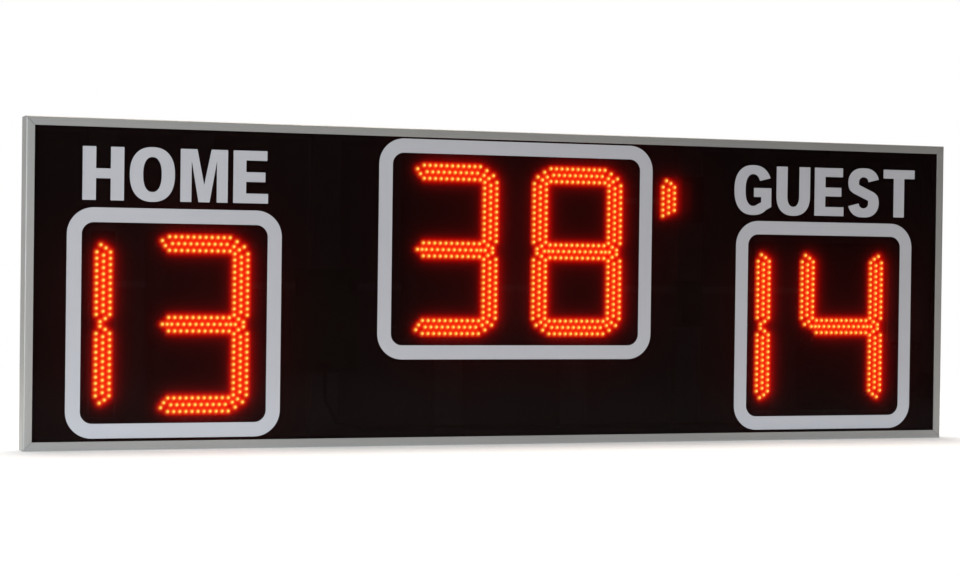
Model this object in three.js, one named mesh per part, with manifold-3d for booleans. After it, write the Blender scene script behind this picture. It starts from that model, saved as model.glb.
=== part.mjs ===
// Electronic scoreboard: a wall-hung LED board with seven-bar digits behind a smoked panel,
// in a mitred aluminium frame. Millimetres, +Z up.
// Seen from the front, +X is right and -Y is towards the viewer. The origin lies on the wall
// plane, in the middle of the board's back. A depth is counted from the front face of the frame
// towards the wall, and an inset from the outer face of a rail towards the middle of the board.

import * as THREE from 'three';
import { mergeVertices } from 'three/addons/utils/BufferGeometryUtils.js';
import Module from 'manifold-3d';

const wasm = await Module();
wasm.setup();

// Whole board
const boardDepth = 45;
const seatGap = 0.3; // clearance between pieces that sit on each other
const cutOverrun = 2; // how far a cut runs past the piece, or a fused part into it

// Frame rail
const lipFace = 15;
const lipThick = 2;
const wallThick = 2;
const edgeRadius = 3;
const ribReach = 12;
const ribThick = 1.5;
const hookHeight = 2;
const keyRoom = 13.6; // between the two ribs
const flangeReach = 22;
const flangeThick = 2;

// Corner key
const keyLeg = 60;

// Front panel, its seal and the foil outlines on it
const panelThick = 3;
const panelPlay = 2; // room for the panel to grow in the warmth
const sealThick = 1;
const sealWidth = 8;
const foilThick = 0.2;
const foilGap = 0.1;
const outlineBand = 24.7;
const outlineRadius = 45;

// Spaces round the outlines; the board is as wide and as high as these make it
const homeMargin = 54.5; // lip to the home outline
const homeGap = 172.8; // home outline to the time outline
const guestGap = 169.5;
const guestMargin = 51.2;
const outlineMargin = 3; // lip to the top of the time outline
const timeRise = 66.5; // middle of the board to the middle of the time display
const teamDrop = 64.7; // and down to the middle of the other two

// Spaces inside the outlines, from lamp row to lamp row or to the outline
const digitMargin = 20.5; // above and below the digits
const teamDigitSag = 1.8; // the team digits hang this far below the middle of their display
const tensMargin = 26.2;
const tensGap = 68.5;
const unitsMargin = 33.1;
const homeShift = 0.9; // how far the home digits stand to the right of the places these give
const guestShift = -0.9;
const timeTensMargin = 29.3;
const timeDigitGap = 71.5;
const timeUnitsMargin = 33.8;

// Digits
const barAcross = 72.1; // digit centre to the middle line of an upright bar
const barUp = 136.4; // digit centre to the middle line of the top bar

// Minute mark, a short stroke beside the time outline
const markGap = 36.8;
const markDrop = 99; // below the top of the outline

// Lamps
const lampDiameter = 5;
const lampHeight = 8.6;
const lampSides = 4;
const lampPitch = 10.43;
const rowPitch = 11.4;
const lampsPerRow = 11;
const tipOuterAlong = 64.3; // the two lamps in each pointed end of a bar
const tipOuterAcross = 4.8;
const tipInnerAlong = 59.1;
const tipInnerAcross = 3.7;
const middleTipNear = 54.7; // the same two in the middle bar, on its middle line
const middleTipFar = 62.9;
const markRows = 6; // lamps in the longest column of the minute mark
const markTipOuterUp = 37.8;
const markTipInnerUp = 33;
const tipClearance = 2.9; // lamp tips to the back of the panel

// Lamp boards
const circuitThick = 1.6;
const circuitMargin = 6;

// Support channels
const channelWidth = 50;
const channelWall = 1.5;
const channelPad = 5;
const channelWebDrop = 4;

// Rear covers and hanging straps
const coverThick = 2;
const strapWidth = 50;
const keyholeInset = 66; // board edge to the middle of the round entry
const keyholeRadius = 6.5;
const keyholeSlotRadius = 3.5;
const keyholeSlotRise = 14; // entry centre to slot end centre

// Controller and radio receiver
const controllerWidth = 120;
const controllerHeight = 180;
const controllerDrop = 60;
const receiverWidth = 60;
const receiverHeight = 84;
const receiverDrop = 26;
const chipHeight = 2.2;
const processorSide = 14;
const driverWidth = 7.5;
const driverLength = 18;
const driverPitch = 26;
const capacitorRadius = 4;
const capacitorHeight = 8;
const capacitorSides = 10;
const headerWidth = 12;
const headerLength = 26;
const headerHeight = 8.5;
const shieldWidth = 26;
const shieldLength = 34;
const shieldHeight = 3.5;

// Power supply and its terminal block
const supplyHeight = 165;
const supplyDepth = 30;
const supplySideGap = 2; // to the flange of the right rail
const supplyBoardGap = 7.4; // and to the nearest lamp board
const supplyDrop = 30;
const supplyShelf = 18; // height of the step for the terminals
const supplyShelfDepth = 14;
const ventCount = 9;
const ventPitch = 11;
const ventWidth = 5;
const ventLength = 52;
const ventDepth = 1.2;
const terminalWidth = 58;
const terminalHeight = 14;
const terminalDepth = 11;
const terminalBays = 5;
const terminalWall = 1.5;
const terminalBayDepth = 5;

// Power inlet module, low on the right rail
const inletWidth = 27;
const inletHeight = 47;
const inletDepth = 28;
const inletFlange = 2;
const inletFlangeLap = 2;
const inletCorner = 2.5;
const inletMidDepth = 24.5;
const inletRise = 97.5; // bottom edge of the board to the middle of the module
const inletWall = 2;
const socketWidth = 24;
const socketHeight = 16.6;
const socketDeep = 17;
const socketChamfer = 4.5;
const pinThick = 2;
const pinWide = 4;
const pinRecess = 2.5;
const pinTab = 6;
const pinAcross = 7;
const pinStagger = 2;

// Rocker switch of the inlet
const rockerHalf = 9.3;
const rockerRise = 3.2;
const rockerDip = 2.2;
const rockerSkirt = 2.5;
const rockerTaper = 0.7;
const rockerRoot = 6;
const rockerRootHalf = 4;
const rockerThick = 11.6;
const rockerTilt = THREE.MathUtils.degToRad(8);
const rockerWellDeep = 12;
const axleRadius = 1.3;
const axleReach = 1.2; // into each side wall
const axleSides = 10;
const axleDepth = 1; // behind the face of the rail

// Fuse drawer and fuse
const fuseLength = 20;
const fuseCapRadius = 2.6;
const fuseCapLength = 5;
const fuseGlassRadius = 2.3;
const fuseSides = 6;
const drawerLength = 14;
const drawerFloor = 1.4;
const drawerSide = 1;
const drawerNose = 2.4;
const gripWidth = 10;
const gripHeight = 1.4;
const gripDeep = 1.2;

// Inner leads
const linkWidth = 12;
const linkThick = 1;
const linkLap = 5; // how far a ribbon lies on the edge of a board
const mainsLeadRadius = 4;
const mainsLeadBend = 20;
const powerLeadRadius = 3;
const powerLeadBend = 60;
const powerLeadInset = 32; // bottom edge of the board to the lead's middle line
const powerLeadEntry = 25; // from the middle of the power supply
const mainsLeadSteps = 10;
const powerLeadSteps = 28;

// Facets of round outlines: a whole arc is drawn with twice as many
const cornerSteps = 2;
const keyholeSteps = 4;
const leadSides = 3;

// Overall size, and the middles of the displays and digits, from the spaces between them
const digitHalf = barAcross + rowPitch;
const oneHalf = rowPitch; // half of a tens digit, which is two upright bars
const outlineHeight = 2 * (outlineBand + digitMargin + barUp + rowPitch);
const teamOutlineWidth = 2 * (outlineBand + oneHalf + digitHalf) + tensMargin + tensGap + unitsMargin;
const timeOutlineWidth = 2 * outlineBand + 4 * digitHalf
  + timeTensMargin + timeDigitGap + timeUnitsMargin;
const boardHeight = 2 * (timeRise + outlineHeight / 2 + outlineMargin + lipFace);
const boardWidth = 2 * (lipFace + teamOutlineWidth)
  + homeMargin + homeGap + timeOutlineWidth + guestGap + guestMargin;
const homeX = lipFace + homeMargin + teamOutlineWidth / 2 - boardWidth / 2;
const timeX = homeX + homeGap + (teamOutlineWidth + timeOutlineWidth) / 2;
const guestX = timeX + guestGap + (teamOutlineWidth + timeOutlineWidth) / 2;
const homeTensX = homeX - teamOutlineWidth / 2 + outlineBand + tensMargin + oneHalf + homeShift;
const homeUnitsX = homeTensX + oneHalf + tensGap + digitHalf;
const timeTensX = timeX - timeOutlineWidth / 2 + outlineBand + timeTensMargin + digitHalf;
const timeUnitsX = timeTensX + 2 * digitHalf + timeDigitGap;
const guestTensX = guestX - teamOutlineWidth / 2 + outlineBand + tensMargin + oneHalf + guestShift;
const guestUnitsX = guestTensX + oneHalf + tensGap + digitHalf;

// The hanging straps and their channels stand in the gaps between the displays
const hangerX = (timeOutlineWidth + homeGap) / 2;
const hangerPitch = 2 * hangerX;

// Depths that follow from the sizes above, from the front face to the wall
const sealFront = lipThick + seatGap;
const panelFront = sealFront + sealThick + seatGap;
const panelBack = panelFront + panelThick;
const panelRibFront = panelBack + seatGap;
const panelRibBack = panelRibFront + ribThick;
const keyRibFront = panelRibBack + keyRoom;
const keyRibBack = keyRibFront + ribThick;
const circuitFront = panelBack + tipClearance + lampHeight;
const channelFront = circuitFront + circuitThick + seatGap;
const coverFront = boardDepth - coverThick;
const flangeBack = coverFront - seatGap;
const flangeFront = flangeBack - flangeThick;
const channelBack = flangeFront - seatGap;

const finishes = {
  aluminium: { color: 0x9c9c9a, roughness: 0.42, metalness: 0.9 },
  zinc: { color: 0xb4b6b8, roughness: 0.45, metalness: 0.85 },
  smoked: { color: 0x150c0c, roughness: 0.12, metalness: 0 },
  foil: { color: 0xc4c8d2, roughness: 0.4, metalness: 0 },
  rubber: { color: 0x1b1b1c, roughness: 0.85, metalness: 0 },
  lampBoard: { color: 0xb0551c, roughness: 0.5, metalness: 0 },
  circuit: { color: 0x1d5236, roughness: 0.5, metalness: 0 },
  coated: { color: 0x6f7274, roughness: 0.6, metalness: 0.2 },
  blackPlastic: { color: 0x161617, roughness: 0.5, metalness: 0 },
  brass: { color: 0xc2b27a, roughness: 0.35, metalness: 0.95 },
  glass: { color: 0xd4dcdc, roughness: 0.1, metalness: 0 },
  cable: { color: 0x2a2a2c, roughness: 0.7, metalness: 0 },
  ribbon: { color: 0x9a9b9d, roughness: 0.7, metalness: 0 },
};

const board = new THREE.Group();

function piece(name, geometry, finish, group = board) {
  const mesh = new THREE.Mesh(geometry, new THREE.MeshStandardMaterial(finish));
  mesh.name = name;
  group.add(mesh);
  return mesh;
}

// Booleans: a closed geometry becomes a solid, and a solid becomes a geometry again
function toSolid(geometry) {
  const bare = geometry.clone();
  bare.deleteAttribute('normal');
  bare.deleteAttribute('uv');
  const merged = mergeVertices(bare);
  return new wasm.Manifold(new wasm.Mesh({
    numProp: 3,
    vertProperties: new Float32Array(merged.attributes.position.array),
    triVerts: new Uint32Array(merged.index.array),
  }));
}

function toGeometry(solid) {
  const mesh = solid.getMesh();
  const geometry = new THREE.BufferGeometry();
  geometry.setAttribute('position', new THREE.BufferAttribute(mesh.vertProperties, 3));
  geometry.setIndex(new THREE.BufferAttribute(mesh.triVerts, 1));
  geometry.computeVertexNormals();
  return geometry;
}

function fuse(base, parts) {
  return parts.reduce((solid, part) => solid.add(toSolid(part)), base);
}

function cut(base, tools) {
  return tools.reduce((solid, tool) => solid.subtract(toSolid(tool)), base);
}

// Outlines
function polygon(points) {
  return new THREE.Shape(points.map(([x, y]) => new THREE.Vector2(x, y)));
}

function rectangle(width, height, x = 0, y = 0) {
  return polygon([
    [x - width / 2, y - height / 2],
    [x + width / 2, y - height / 2],
    [x + width / 2, y + height / 2],
    [x - width / 2, y + height / 2],
  ]);
}

function roundedRectangle(width, height, radius, x = 0, y = 0) {
  const shape = new THREE.Shape();
  const right = x + width / 2 - radius;
  const left = x - width / 2 + radius;
  const top = y + height / 2 - radius;
  const low = y - height / 2 + radius;
  shape.absarc(right, top, radius, 0, Math.PI / 2);
  shape.absarc(left, top, radius, Math.PI / 2, Math.PI);
  shape.absarc(left, low, radius, Math.PI, Math.PI * 1.5);
  shape.absarc(right, low, radius, Math.PI * 1.5, Math.PI * 2);
  return shape;
}

function extrude(shape, depth, curveSegments = cornerSteps) {
  return new THREE.ExtrudeGeometry(shape, { depth, bevelEnabled: false, curveSegments });
}

// A flat piece parallel to the panel: its outline lies in X and Z
function flatPiece(shape, front, thick, curveSegments) {
  const geometry = extrude(shape, thick, curveSegments);
  geometry.rotateX(Math.PI / 2);
  geometry.translate(0, front + thick - boardDepth, 0);
  return geometry;
}

// A block between two depths
function block(width, height, x, z, front, back) {
  return flatPiece(rectangle(width, height, x, z), front, back - front);
}

// A round lead along a path
function lead(path, radius, steps) {
  const section = new THREE.Shape();
  section.absarc(0, 0, radius, 0, Math.PI * 2);
  return new THREE.ExtrudeGeometry(section, { steps, extrudePath: path, curveSegments: leadSides });
}

// Straight runs joined by bends of one radius
function bentPath(points, bend) {
  const path = new THREE.CurvePath();
  let start = points[0];
  for (let i = 1; i < points.length - 1; i += 1) {
    const corner = points[i];
    const back = corner.clone().sub(points[i - 1]).setLength(bend);
    const ahead = points[i + 1].clone().sub(corner).setLength(bend);
    const into = corner.clone().sub(back);
    const out = corner.clone().add(ahead);
    path.add(new THREE.LineCurve3(start, into));
    path.add(new THREE.QuadraticBezierCurve3(into, corner, out));
    start = out;
  }
  path.add(new THREE.LineCurve3(start, points[points.length - 1]));
  return path;
}

// Frame: one extruded rail section, mitred at both ends
function railSection() {
  const hookInset = ribReach - ribThick;
  const shape = new THREE.Shape();
  shape.moveTo(0, boardDepth);
  shape.lineTo(0, edgeRadius);
  shape.absarc(edgeRadius, edgeRadius, edgeRadius, Math.PI, Math.PI * 1.5);
  shape.lineTo(lipFace, 0);
  shape.lineTo(lipFace, lipThick);
  shape.lineTo(wallThick, lipThick);
  shape.lineTo(wallThick, panelRibFront);
  shape.lineTo(ribReach, panelRibFront);
  shape.lineTo(ribReach, panelRibBack + hookHeight);
  shape.lineTo(hookInset, panelRibBack + hookHeight);
  shape.lineTo(hookInset, panelRibBack);
  shape.lineTo(wallThick, panelRibBack);
  shape.lineTo(wallThick, keyRibFront);
  shape.lineTo(hookInset, keyRibFront);
  shape.lineTo(hookInset, keyRibFront - hookHeight);
  shape.lineTo(ribReach, keyRibFront - hookHeight);
  shape.lineTo(ribReach, keyRibBack);
  shape.lineTo(wallThick, keyRibBack);
  shape.lineTo(wallThick, flangeFront);
  shape.lineTo(flangeReach, flangeFront);
  shape.lineTo(flangeReach, flangeBack);
  shape.lineTo(wallThick, flangeBack);
  shape.lineTo(wallThick, boardDepth);
  return shape;
}

function mitredRail(length, halfSpan, turn) {
  const geometry = extrude(railSection(), length);
  const position = geometry.attributes.position;
  const mitreShift = seatGap / Math.SQRT2;
  for (let i = 0; i < position.count; i += 1) {
    const inset = position.getX(i) + mitreShift;
    position.setZ(i, position.getZ(i) < length / 2 ? inset : length - inset);
  }
  geometry.translate(0, -boardDepth, -length / 2);
  geometry.rotateY(-Math.PI / 2);
  geometry.translate(0, 0, -halfSpan);
  geometry.rotateY(turn);
  return geometry;
}

const inletX = boardWidth / 2;
const inletY = inletMidDepth - boardDepth;
const inletZ = inletRise - boardHeight / 2;

function inletCutout() {
  const geometry = new THREE.BoxGeometry(
    2 * (ribReach + cutOverrun),
    inletWidth + 2 * seatGap,
    inletHeight + 2 * seatGap,
  );
  geometry.translate(inletX, inletY, inletZ);
  return geometry;
}

const rightRail = toSolid(mitredRail(boardHeight, boardWidth / 2, -Math.PI / 2));
piece('frame_bottom', mitredRail(boardWidth, boardHeight / 2, 0), finishes.aluminium);
piece('frame_left', mitredRail(boardHeight, boardWidth / 2, Math.PI / 2), finishes.aluminium);
piece('frame_top', mitredRail(boardWidth, boardHeight / 2, Math.PI), finishes.aluminium);
piece('frame_right', toGeometry(cut(rightRail, [inletCutout()])), finishes.aluminium);

// Corner keys: L-shaped, in the room between the ribs of two rails
function cornerKey() {
  const near = wallThick + seatGap;
  const far = ribReach - ribThick - seatGap;
  const front = panelRibBack + seatGap;
  const shape = polygon([
    [near, near],
    [keyLeg, near],
    [keyLeg, far],
    [far, far],
    [far, keyLeg],
    [near, keyLeg],
  ]);
  return flatPiece(shape, front, keyRoom - 2 * seatGap);
}

const corners = [
  ['corner_key_bottom_left', -1, -1, 0],
  ['corner_key_bottom_right', 1, -1, -Math.PI / 2],
  ['corner_key_top_right', 1, 1, Math.PI],
  ['corner_key_top_left', -1, 1, Math.PI / 2],
];
for (const [name, side, level, turn] of corners) {
  const key = piece(name, cornerKey(), finishes.zinc);
  key.position.set(side * boardWidth / 2, 0, level * boardHeight / 2);
  key.rotation.y = turn;
}

// Front panel and the foam seal between it and the lips
const panelWidth = boardWidth - 2 * (wallThick + panelPlay);
const panelHeight = boardHeight - 2 * (wallThick + panelPlay);
const panelShape = rectangle(panelWidth, panelHeight);
piece('front_panel', flatPiece(panelShape, panelFront, panelThick), finishes.smoked);

const sealShape = rectangle(panelWidth, panelHeight);
sealShape.holes.push(rectangle(panelWidth - 2 * sealWidth, panelHeight - 2 * sealWidth));
piece('front_seal', flatPiece(sealShape, sealFront, sealThick), finishes.rubber);

// Foil outline round each display
function outline(width, x, z) {
  const shape = roundedRectangle(width, outlineHeight, outlineRadius, x, z);
  const innerWidth = width - 2 * outlineBand;
  const innerHeight = outlineHeight - 2 * outlineBand;
  shape.holes.push(roundedRectangle(innerWidth, innerHeight, outlineRadius - outlineBand, x, z));
  return flatPiece(shape, panelFront - foilGap - foilThick, foilThick);
}

piece('home_outline', outline(teamOutlineWidth, homeX, -teamDrop), finishes.foil);
piece('time_outline', outline(timeOutlineWidth, timeX, timeRise), finishes.foil);
piece('guest_outline', outline(teamOutlineWidth, guestX, -teamDrop), finishes.foil);

// Lamp places of one bar, along and across its middle line: two full rows with a staggered
// row between them, and two lamps in each pointed end
function barLamps(tips) {
  const lamps = [];
  for (const row of [-1, 0, 1]) {
    const count = row === 0 ? lampsPerRow - 1 : lampsPerRow;
    for (let i = 0; i < count; i += 1) {
      lamps.push([(i - (count - 1) / 2) * lampPitch, row * rowPitch]);
    }
  }
  for (const end of [-1, 1]) {
    for (const [along, across] of tips) {
      lamps.push([end * along, across]);
    }
  }
  return lamps;
}

const outerTips = [[tipOuterAlong, tipOuterAcross], [tipInnerAlong, -tipInnerAcross]];
const middleTips = [[middleTipNear, 0], [middleTipFar, 0]];

function flatBar(z, outward, tips) {
  return barLamps(tips).map(([along, across]) => [along, z + outward * across]);
}

function uprightBar(x, z, outward) {
  return barLamps(outerTips).map(([along, across]) => [x + outward * across, z + along]);
}

function fullDigit() {
  return [
    ...flatBar(barUp, 1, outerTips),
    ...flatBar(0, 1, middleTips),
    ...flatBar(-barUp, -1, outerTips),
    ...uprightBar(barAcross, barUp / 2, 1),
    ...uprightBar(barAcross, -barUp / 2, 1),
    ...uprightBar(-barAcross, barUp / 2, -1),
    ...uprightBar(-barAcross, -barUp / 2, -1),
  ];
}

// The tens of a team's score only ever show a one: two upright bars
function oneDigit() {
  return [...uprightBar(0, barUp / 2, -1), ...uprightBar(0, -barUp / 2, -1)];
}

// The minute mark: three short columns, longest on the left, with a pointed top
function minuteMark() {
  const top = (markRows - 1) / 2 * lampPitch;
  const lamps = [[-tipOuterAcross, markTipOuterUp], [tipInnerAcross, markTipInnerUp]];
  for (let i = 0; i < markRows; i += 1) {
    lamps.push([-rowPitch, top - i * lampPitch]);
  }
  for (let i = 0; i < markRows - 1; i += 1) {
    lamps.push([0, top - (i + 1 / 2) * lampPitch]);
    lamps.push([rowPitch, top - i * lampPitch]);
  }
  return lamps;
}

// A lamp board: a circuit board with its lamps standing on the front
function lampBoard(circuit, lamps, x, z) {
  const lampLength = lampHeight + circuitThick / 2;
  const bodies = lamps.map(([across, up]) => {
    const lamp = new THREE.ConeGeometry(lampDiameter / 2, lampLength, lampSides);
    lamp.rotateX(Math.PI);
    lamp.translate(x + across, circuitFront - lampHeight + lampLength / 2 - boardDepth, z + up);
    return lamp;
  });
  return toGeometry(fuse(toSolid(circuit), bodies));
}

const digitWidth = 2 * (digitHalf + lampDiameter / 2 + circuitMargin);
const oneWidth = 2 * (oneHalf + lampDiameter / 2 + circuitMargin);
const digitHeight = 2 * (barUp + rowPitch + lampDiameter / 2 + circuitMargin);

function digitBoard(name, width, lamps, x, z) {
  const circuit = block(width, digitHeight, x, z, circuitFront, circuitFront + circuitThick);
  piece(name, lampBoard(circuit, lamps, x, z), finishes.lampBoard);
}

const teamDigitZ = -teamDrop - teamDigitSag;
digitBoard('lamp_board_home_tens', oneWidth, oneDigit(), homeTensX, teamDigitZ);
digitBoard('lamp_board_home_units', digitWidth, fullDigit(), homeUnitsX, teamDigitZ);
digitBoard('lamp_board_time_tens', digitWidth, fullDigit(), timeTensX, timeRise);
digitBoard('lamp_board_time_units', digitWidth, fullDigit(), timeUnitsX, timeRise);
digitBoard('lamp_board_guest_tens', oneWidth, oneDigit(), guestTensX, teamDigitZ);
digitBoard('lamp_board_guest_units', digitWidth, fullDigit(), guestUnitsX, teamDigitZ);

// The mark's board reaches across to the hanging channel, which carries it
const markX = timeX + timeOutlineWidth / 2 + markGap;
const markZ = timeRise + outlineHeight / 2 - markDrop;
const markLeft = markX - oneWidth / 2;
const markRight = hangerX + channelWidth / 2;
const markTop = markZ + markTipOuterUp + lampDiameter / 2 + circuitMargin;
const markLow = markZ - markRows / 2 * lampPitch - circuitMargin;
const markCircuit = block(
  markRight - markLeft,
  markTop - markLow,
  (markLeft + markRight) / 2,
  (markTop + markLow) / 2,
  circuitFront,
  circuitFront + circuitThick,
);
piece('lamp_board_minute_mark', lampBoard(markCircuit, minuteMark(), markX, markZ), finishes.lampBoard);

// Support channels: upright, each carrying a board on its two front pads and resting with its
// legs against the rear flanges of the top and bottom rails
function channel(x) {
  const half = channelWidth / 2;
  const inner = half - channelWall;
  const pad = half - channelPad;
  const padBack = channelFront + channelWall;
  const webFront = channelFront + channelWebDrop;
  const webBack = webFront + channelWall;
  const shape = polygon([
    [-half, channelFront],
    [-pad, channelFront],
    [-pad, padBack],
    [-inner, padBack],
    [-inner, webFront],
    [inner, webFront],
    [inner, padBack],
    [pad, padBack],
    [pad, channelFront],
    [half, channelFront],
    [half, channelBack],
    [inner, channelBack],
    [inner, webBack],
    [-inner, webBack],
    [-inner, channelBack],
    [-half, channelBack],
  ]);
  const length = boardHeight - 2 * (ribReach + seatGap);
  const geometry = extrude(shape, length);
  geometry.translate(x, -boardDepth, -length / 2);
  return geometry;
}

const channelPlaces = [
  ['channel_home_tens', homeTensX],
  ['channel_home_units', homeUnitsX],
  ['channel_hanger_left', -hangerX],
  ['channel_time_tens', timeTensX],
  ['channel_time_units', timeUnitsX],
  ['channel_hanger_right', hangerX],
  ['channel_guest_tens', guestTensX],
  ['channel_guest_units', guestUnitsX],
];
for (const [name, x] of channelPlaces) {
  piece(name, channel(x), finishes.zinc);
}

// Back: three covers and, between them, two hanging straps with a keyhole near each end
const backWidth = boardWidth - 2 * (wallThick + seatGap);
const backHeight = boardHeight - 2 * (wallThick + seatGap);

function keyhole(x, z) {
  const path = new THREE.Path();
  const neckAngle = Math.acos(keyholeSlotRadius / keyholeRadius);
  path.absarc(x, z, keyholeRadius, Math.PI - neckAngle, Math.PI * 2 + neckAngle);
  path.absarc(x, z + keyholeSlotRise, keyholeSlotRadius, 0, Math.PI);
  return path;
}

function strap(x) {
  const shape = rectangle(strapWidth, backHeight, x, 0);
  const reach = boardHeight / 2 - keyholeInset;
  shape.holes.push(keyhole(x, reach));
  shape.holes.push(keyhole(x, -reach));
  return flatPiece(shape, coverFront, coverThick, keyholeSteps);
}

piece('hanging_strap_left', strap(-hangerX), finishes.zinc);
piece('hanging_strap_right', strap(hangerX), finishes.zinc);

const centreCover = hangerPitch - strapWidth - 2 * seatGap;
const sideCover = (backWidth - hangerPitch - strapWidth - 2 * seatGap) / 2;
const sideCoverX = (backWidth - sideCover) / 2;
const coverPlaces = [
  ['rear_cover_left', -sideCoverX, sideCover],
  ['rear_cover_centre', 0, centreCover],
  ['rear_cover_right', sideCoverX, sideCover],
];
for (const [name, x, width] of coverPlaces) {
  piece(name, block(width, backHeight, x, 0, coverFront, boardDepth), finishes.coated);
}

// Controller: seated on the left hanging channel, parts on the front
function standing(width, height, tall, x, z) {
  return block(width, height, x, z, circuitFront - tall, circuitFront + circuitThick / 2);
}

function can(x, z) {
  const length = capacitorHeight + circuitThick / 2;
  const geometry = new THREE.CylinderGeometry(capacitorRadius, capacitorRadius, length, capacitorSides);
  geometry.translate(x, circuitFront - capacitorHeight + length / 2 - boardDepth, z);
  return geometry;
}

const controllerZ = -controllerDrop;
const controllerLow = controllerZ - controllerHeight / 2;
const controllerBase = block(
  controllerWidth,
  controllerHeight,
  -hangerX,
  controllerZ,
  circuitFront,
  circuitFront + circuitThick,
);
const powerHeaderZ = controllerLow + headerWidth / 2 + circuitMargin;
const controllerParts = [
  standing(processorSide, processorSide, chipHeight, -hangerX, controllerZ + driverPitch),
  standing(headerWidth * 2, headerWidth, headerHeight, -hangerX, powerHeaderZ),
];
for (const step of [-1, 0, 1]) {
  const driverX = -hangerX + step * driverPitch;
  const driverZ = controllerZ - driverPitch / 2;
  controllerParts.push(standing(driverWidth, driverLength, chipHeight, driverX, driverZ));
}
for (const side of [-1, 1]) {
  const reach = controllerWidth / 2 - headerWidth / 2 - circuitMargin;
  controllerParts.push(can(-hangerX + side * reach, controllerLow + headerWidth + circuitMargin));
  controllerParts.push(standing(headerWidth, headerLength, headerHeight, -hangerX + side * reach, 0));
}
piece('controller_board', toGeometry(fuse(toSolid(controllerBase), controllerParts)), finishes.circuit);

// Radio receiver: a small board with a shielded module, on the right hanging channel
const receiverZ = -receiverDrop;
const receiverBase = block(
  receiverWidth,
  receiverHeight,
  hangerX,
  receiverZ,
  circuitFront,
  circuitFront + circuitThick,
);
const shieldZ = receiverZ - receiverHeight / 2 + shieldLength / 2 + circuitMargin;
const receiverParts = [standing(shieldWidth, shieldLength, shieldHeight, hangerX, shieldZ)];
piece('radio_receiver', toGeometry(fuse(toSolid(receiverBase), receiverParts)), finishes.circuit);

// Power supply: a slim vented case on the right rear cover, with a step for its terminals
const supplyRight = boardWidth / 2 - flangeReach - supplySideGap;
const supplyLeft = guestUnitsX + digitWidth / 2 + supplyBoardGap;
const supplyWidth = supplyRight - supplyLeft;
const supplyX = (supplyRight + supplyLeft) / 2;
const supplyZ = -supplyDrop;
const supplyLow = supplyZ - supplyHeight / 2;
const supplyBack = coverFront - seatGap;
const supplyFront = supplyBack - supplyDepth;
const supplyCase = block(supplyWidth, supplyHeight, supplyX, supplyZ, supplyFront, supplyBack);
const supplyCuts = [
  block(
    supplyWidth + 2 * cutOverrun,
    supplyShelf + cutOverrun,
    supplyX,
    supplyLow + (supplyShelf - cutOverrun) / 2,
    supplyFront - cutOverrun,
    supplyFront + supplyShelfDepth,
  ),
];
const ventMiddle = supplyZ + supplyShelf / 2;
for (let i = 0; i < ventCount; i += 1) {
  const z = ventMiddle + (i - (ventCount - 1) / 2) * ventPitch;
  const ventBack = supplyFront + ventDepth;
  supplyCuts.push(block(ventLength, ventWidth, supplyX, z, supplyFront - cutOverrun, ventBack));
}
piece('power_supply', toGeometry(cut(toSolid(supplyCase), supplyCuts)), finishes.coated);

const terminalBack = supplyFront + supplyShelfDepth - seatGap;
const terminalFront = terminalBack - terminalDepth;
const terminalZ = supplyLow + supplyShelf / 2;
const terminalCase = block(
  terminalWidth,
  terminalHeight,
  supplyX,
  terminalZ,
  terminalFront,
  terminalBack,
);
const bayPitch = (terminalWidth - terminalWall) / terminalBays;
const bayWidth = bayPitch - terminalWall;
const bayCuts = [];
for (let i = 0; i < terminalBays; i += 1) {
  const x = supplyX + (i - (terminalBays - 1) / 2) * bayPitch;
  const bayBack = terminalFront + terminalBayDepth;
  const bayZ = terminalZ - terminalWall;
  bayCuts.push(block(bayWidth, terminalHeight, x, bayZ, terminalFront - cutOverrun, bayBack));
}
piece('terminal_block', toGeometry(cut(toSolid(terminalCase), bayCuts)), finishes.blackPlastic);

// Power inlet module. In its group +X points out of the rail, and the rail's face is at zero
const inlet = new THREE.Group();
inlet.position.set(inletX + seatGap, inletY, inletZ);
board.add(inlet);

// A prism along the group's X axis, with its outline in Y and Z
function outward(shape, from, length) {
  const geometry = extrude(shape, length);
  const turn = new THREE.Matrix4().makeBasis(
    new THREE.Vector3(0, 1, 0),
    new THREE.Vector3(0, 0, 1),
    new THREE.Vector3(1, 0, 0),
  );
  geometry.applyMatrix4(turn);
  geometry.translate(from, 0, 0);
  return geometry;
}

// The three wells, stacked from the top of the module with one wall between neighbours
const rockerWellHeight = rockerThick + 2 * seatGap;
const rockerWellWidth = 2 * (Math.hypot(rockerHalf, rockerRise) + seatGap);
const rockerZ = inletHeight / 2 - inletWall - rockerWellHeight / 2;
const drawerWidth = fuseLength + 2 * seatGap + 2 * drawerSide;
const drawerHeight = drawerFloor + 2 * fuseCapRadius + 2 * seatGap;
const drawerSlotHeight = drawerHeight + 2 * seatGap;
const drawerZ = rockerZ - rockerWellHeight / 2 - inletWall - drawerSlotHeight / 2;
const socketZ = drawerZ - drawerSlotHeight / 2 - inletWall - socketHeight / 2;

function socketShape() {
  const half = socketWidth / 2;
  const top = socketZ + socketHeight / 2;
  const low = socketZ - socketHeight / 2;
  return polygon([
    [-half, low],
    [half, low],
    [half, top - socketChamfer],
    [half - socketChamfer, top],
    [socketChamfer - half, top],
    [-half, top - socketChamfer],
  ]);
}

const pins = [
  ['inlet_pin_live', pinAcross, socketZ - pinStagger],
  ['inlet_pin_neutral', -pinAcross, socketZ - pinStagger],
  ['inlet_pin_earth', 0, socketZ + pinStagger],
];

function axle(radius, length) {
  const geometry = new THREE.CylinderGeometry(radius, radius, length, axleSides);
  geometry.rotateX(Math.PI / 2);
  return geometry;
}

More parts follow.
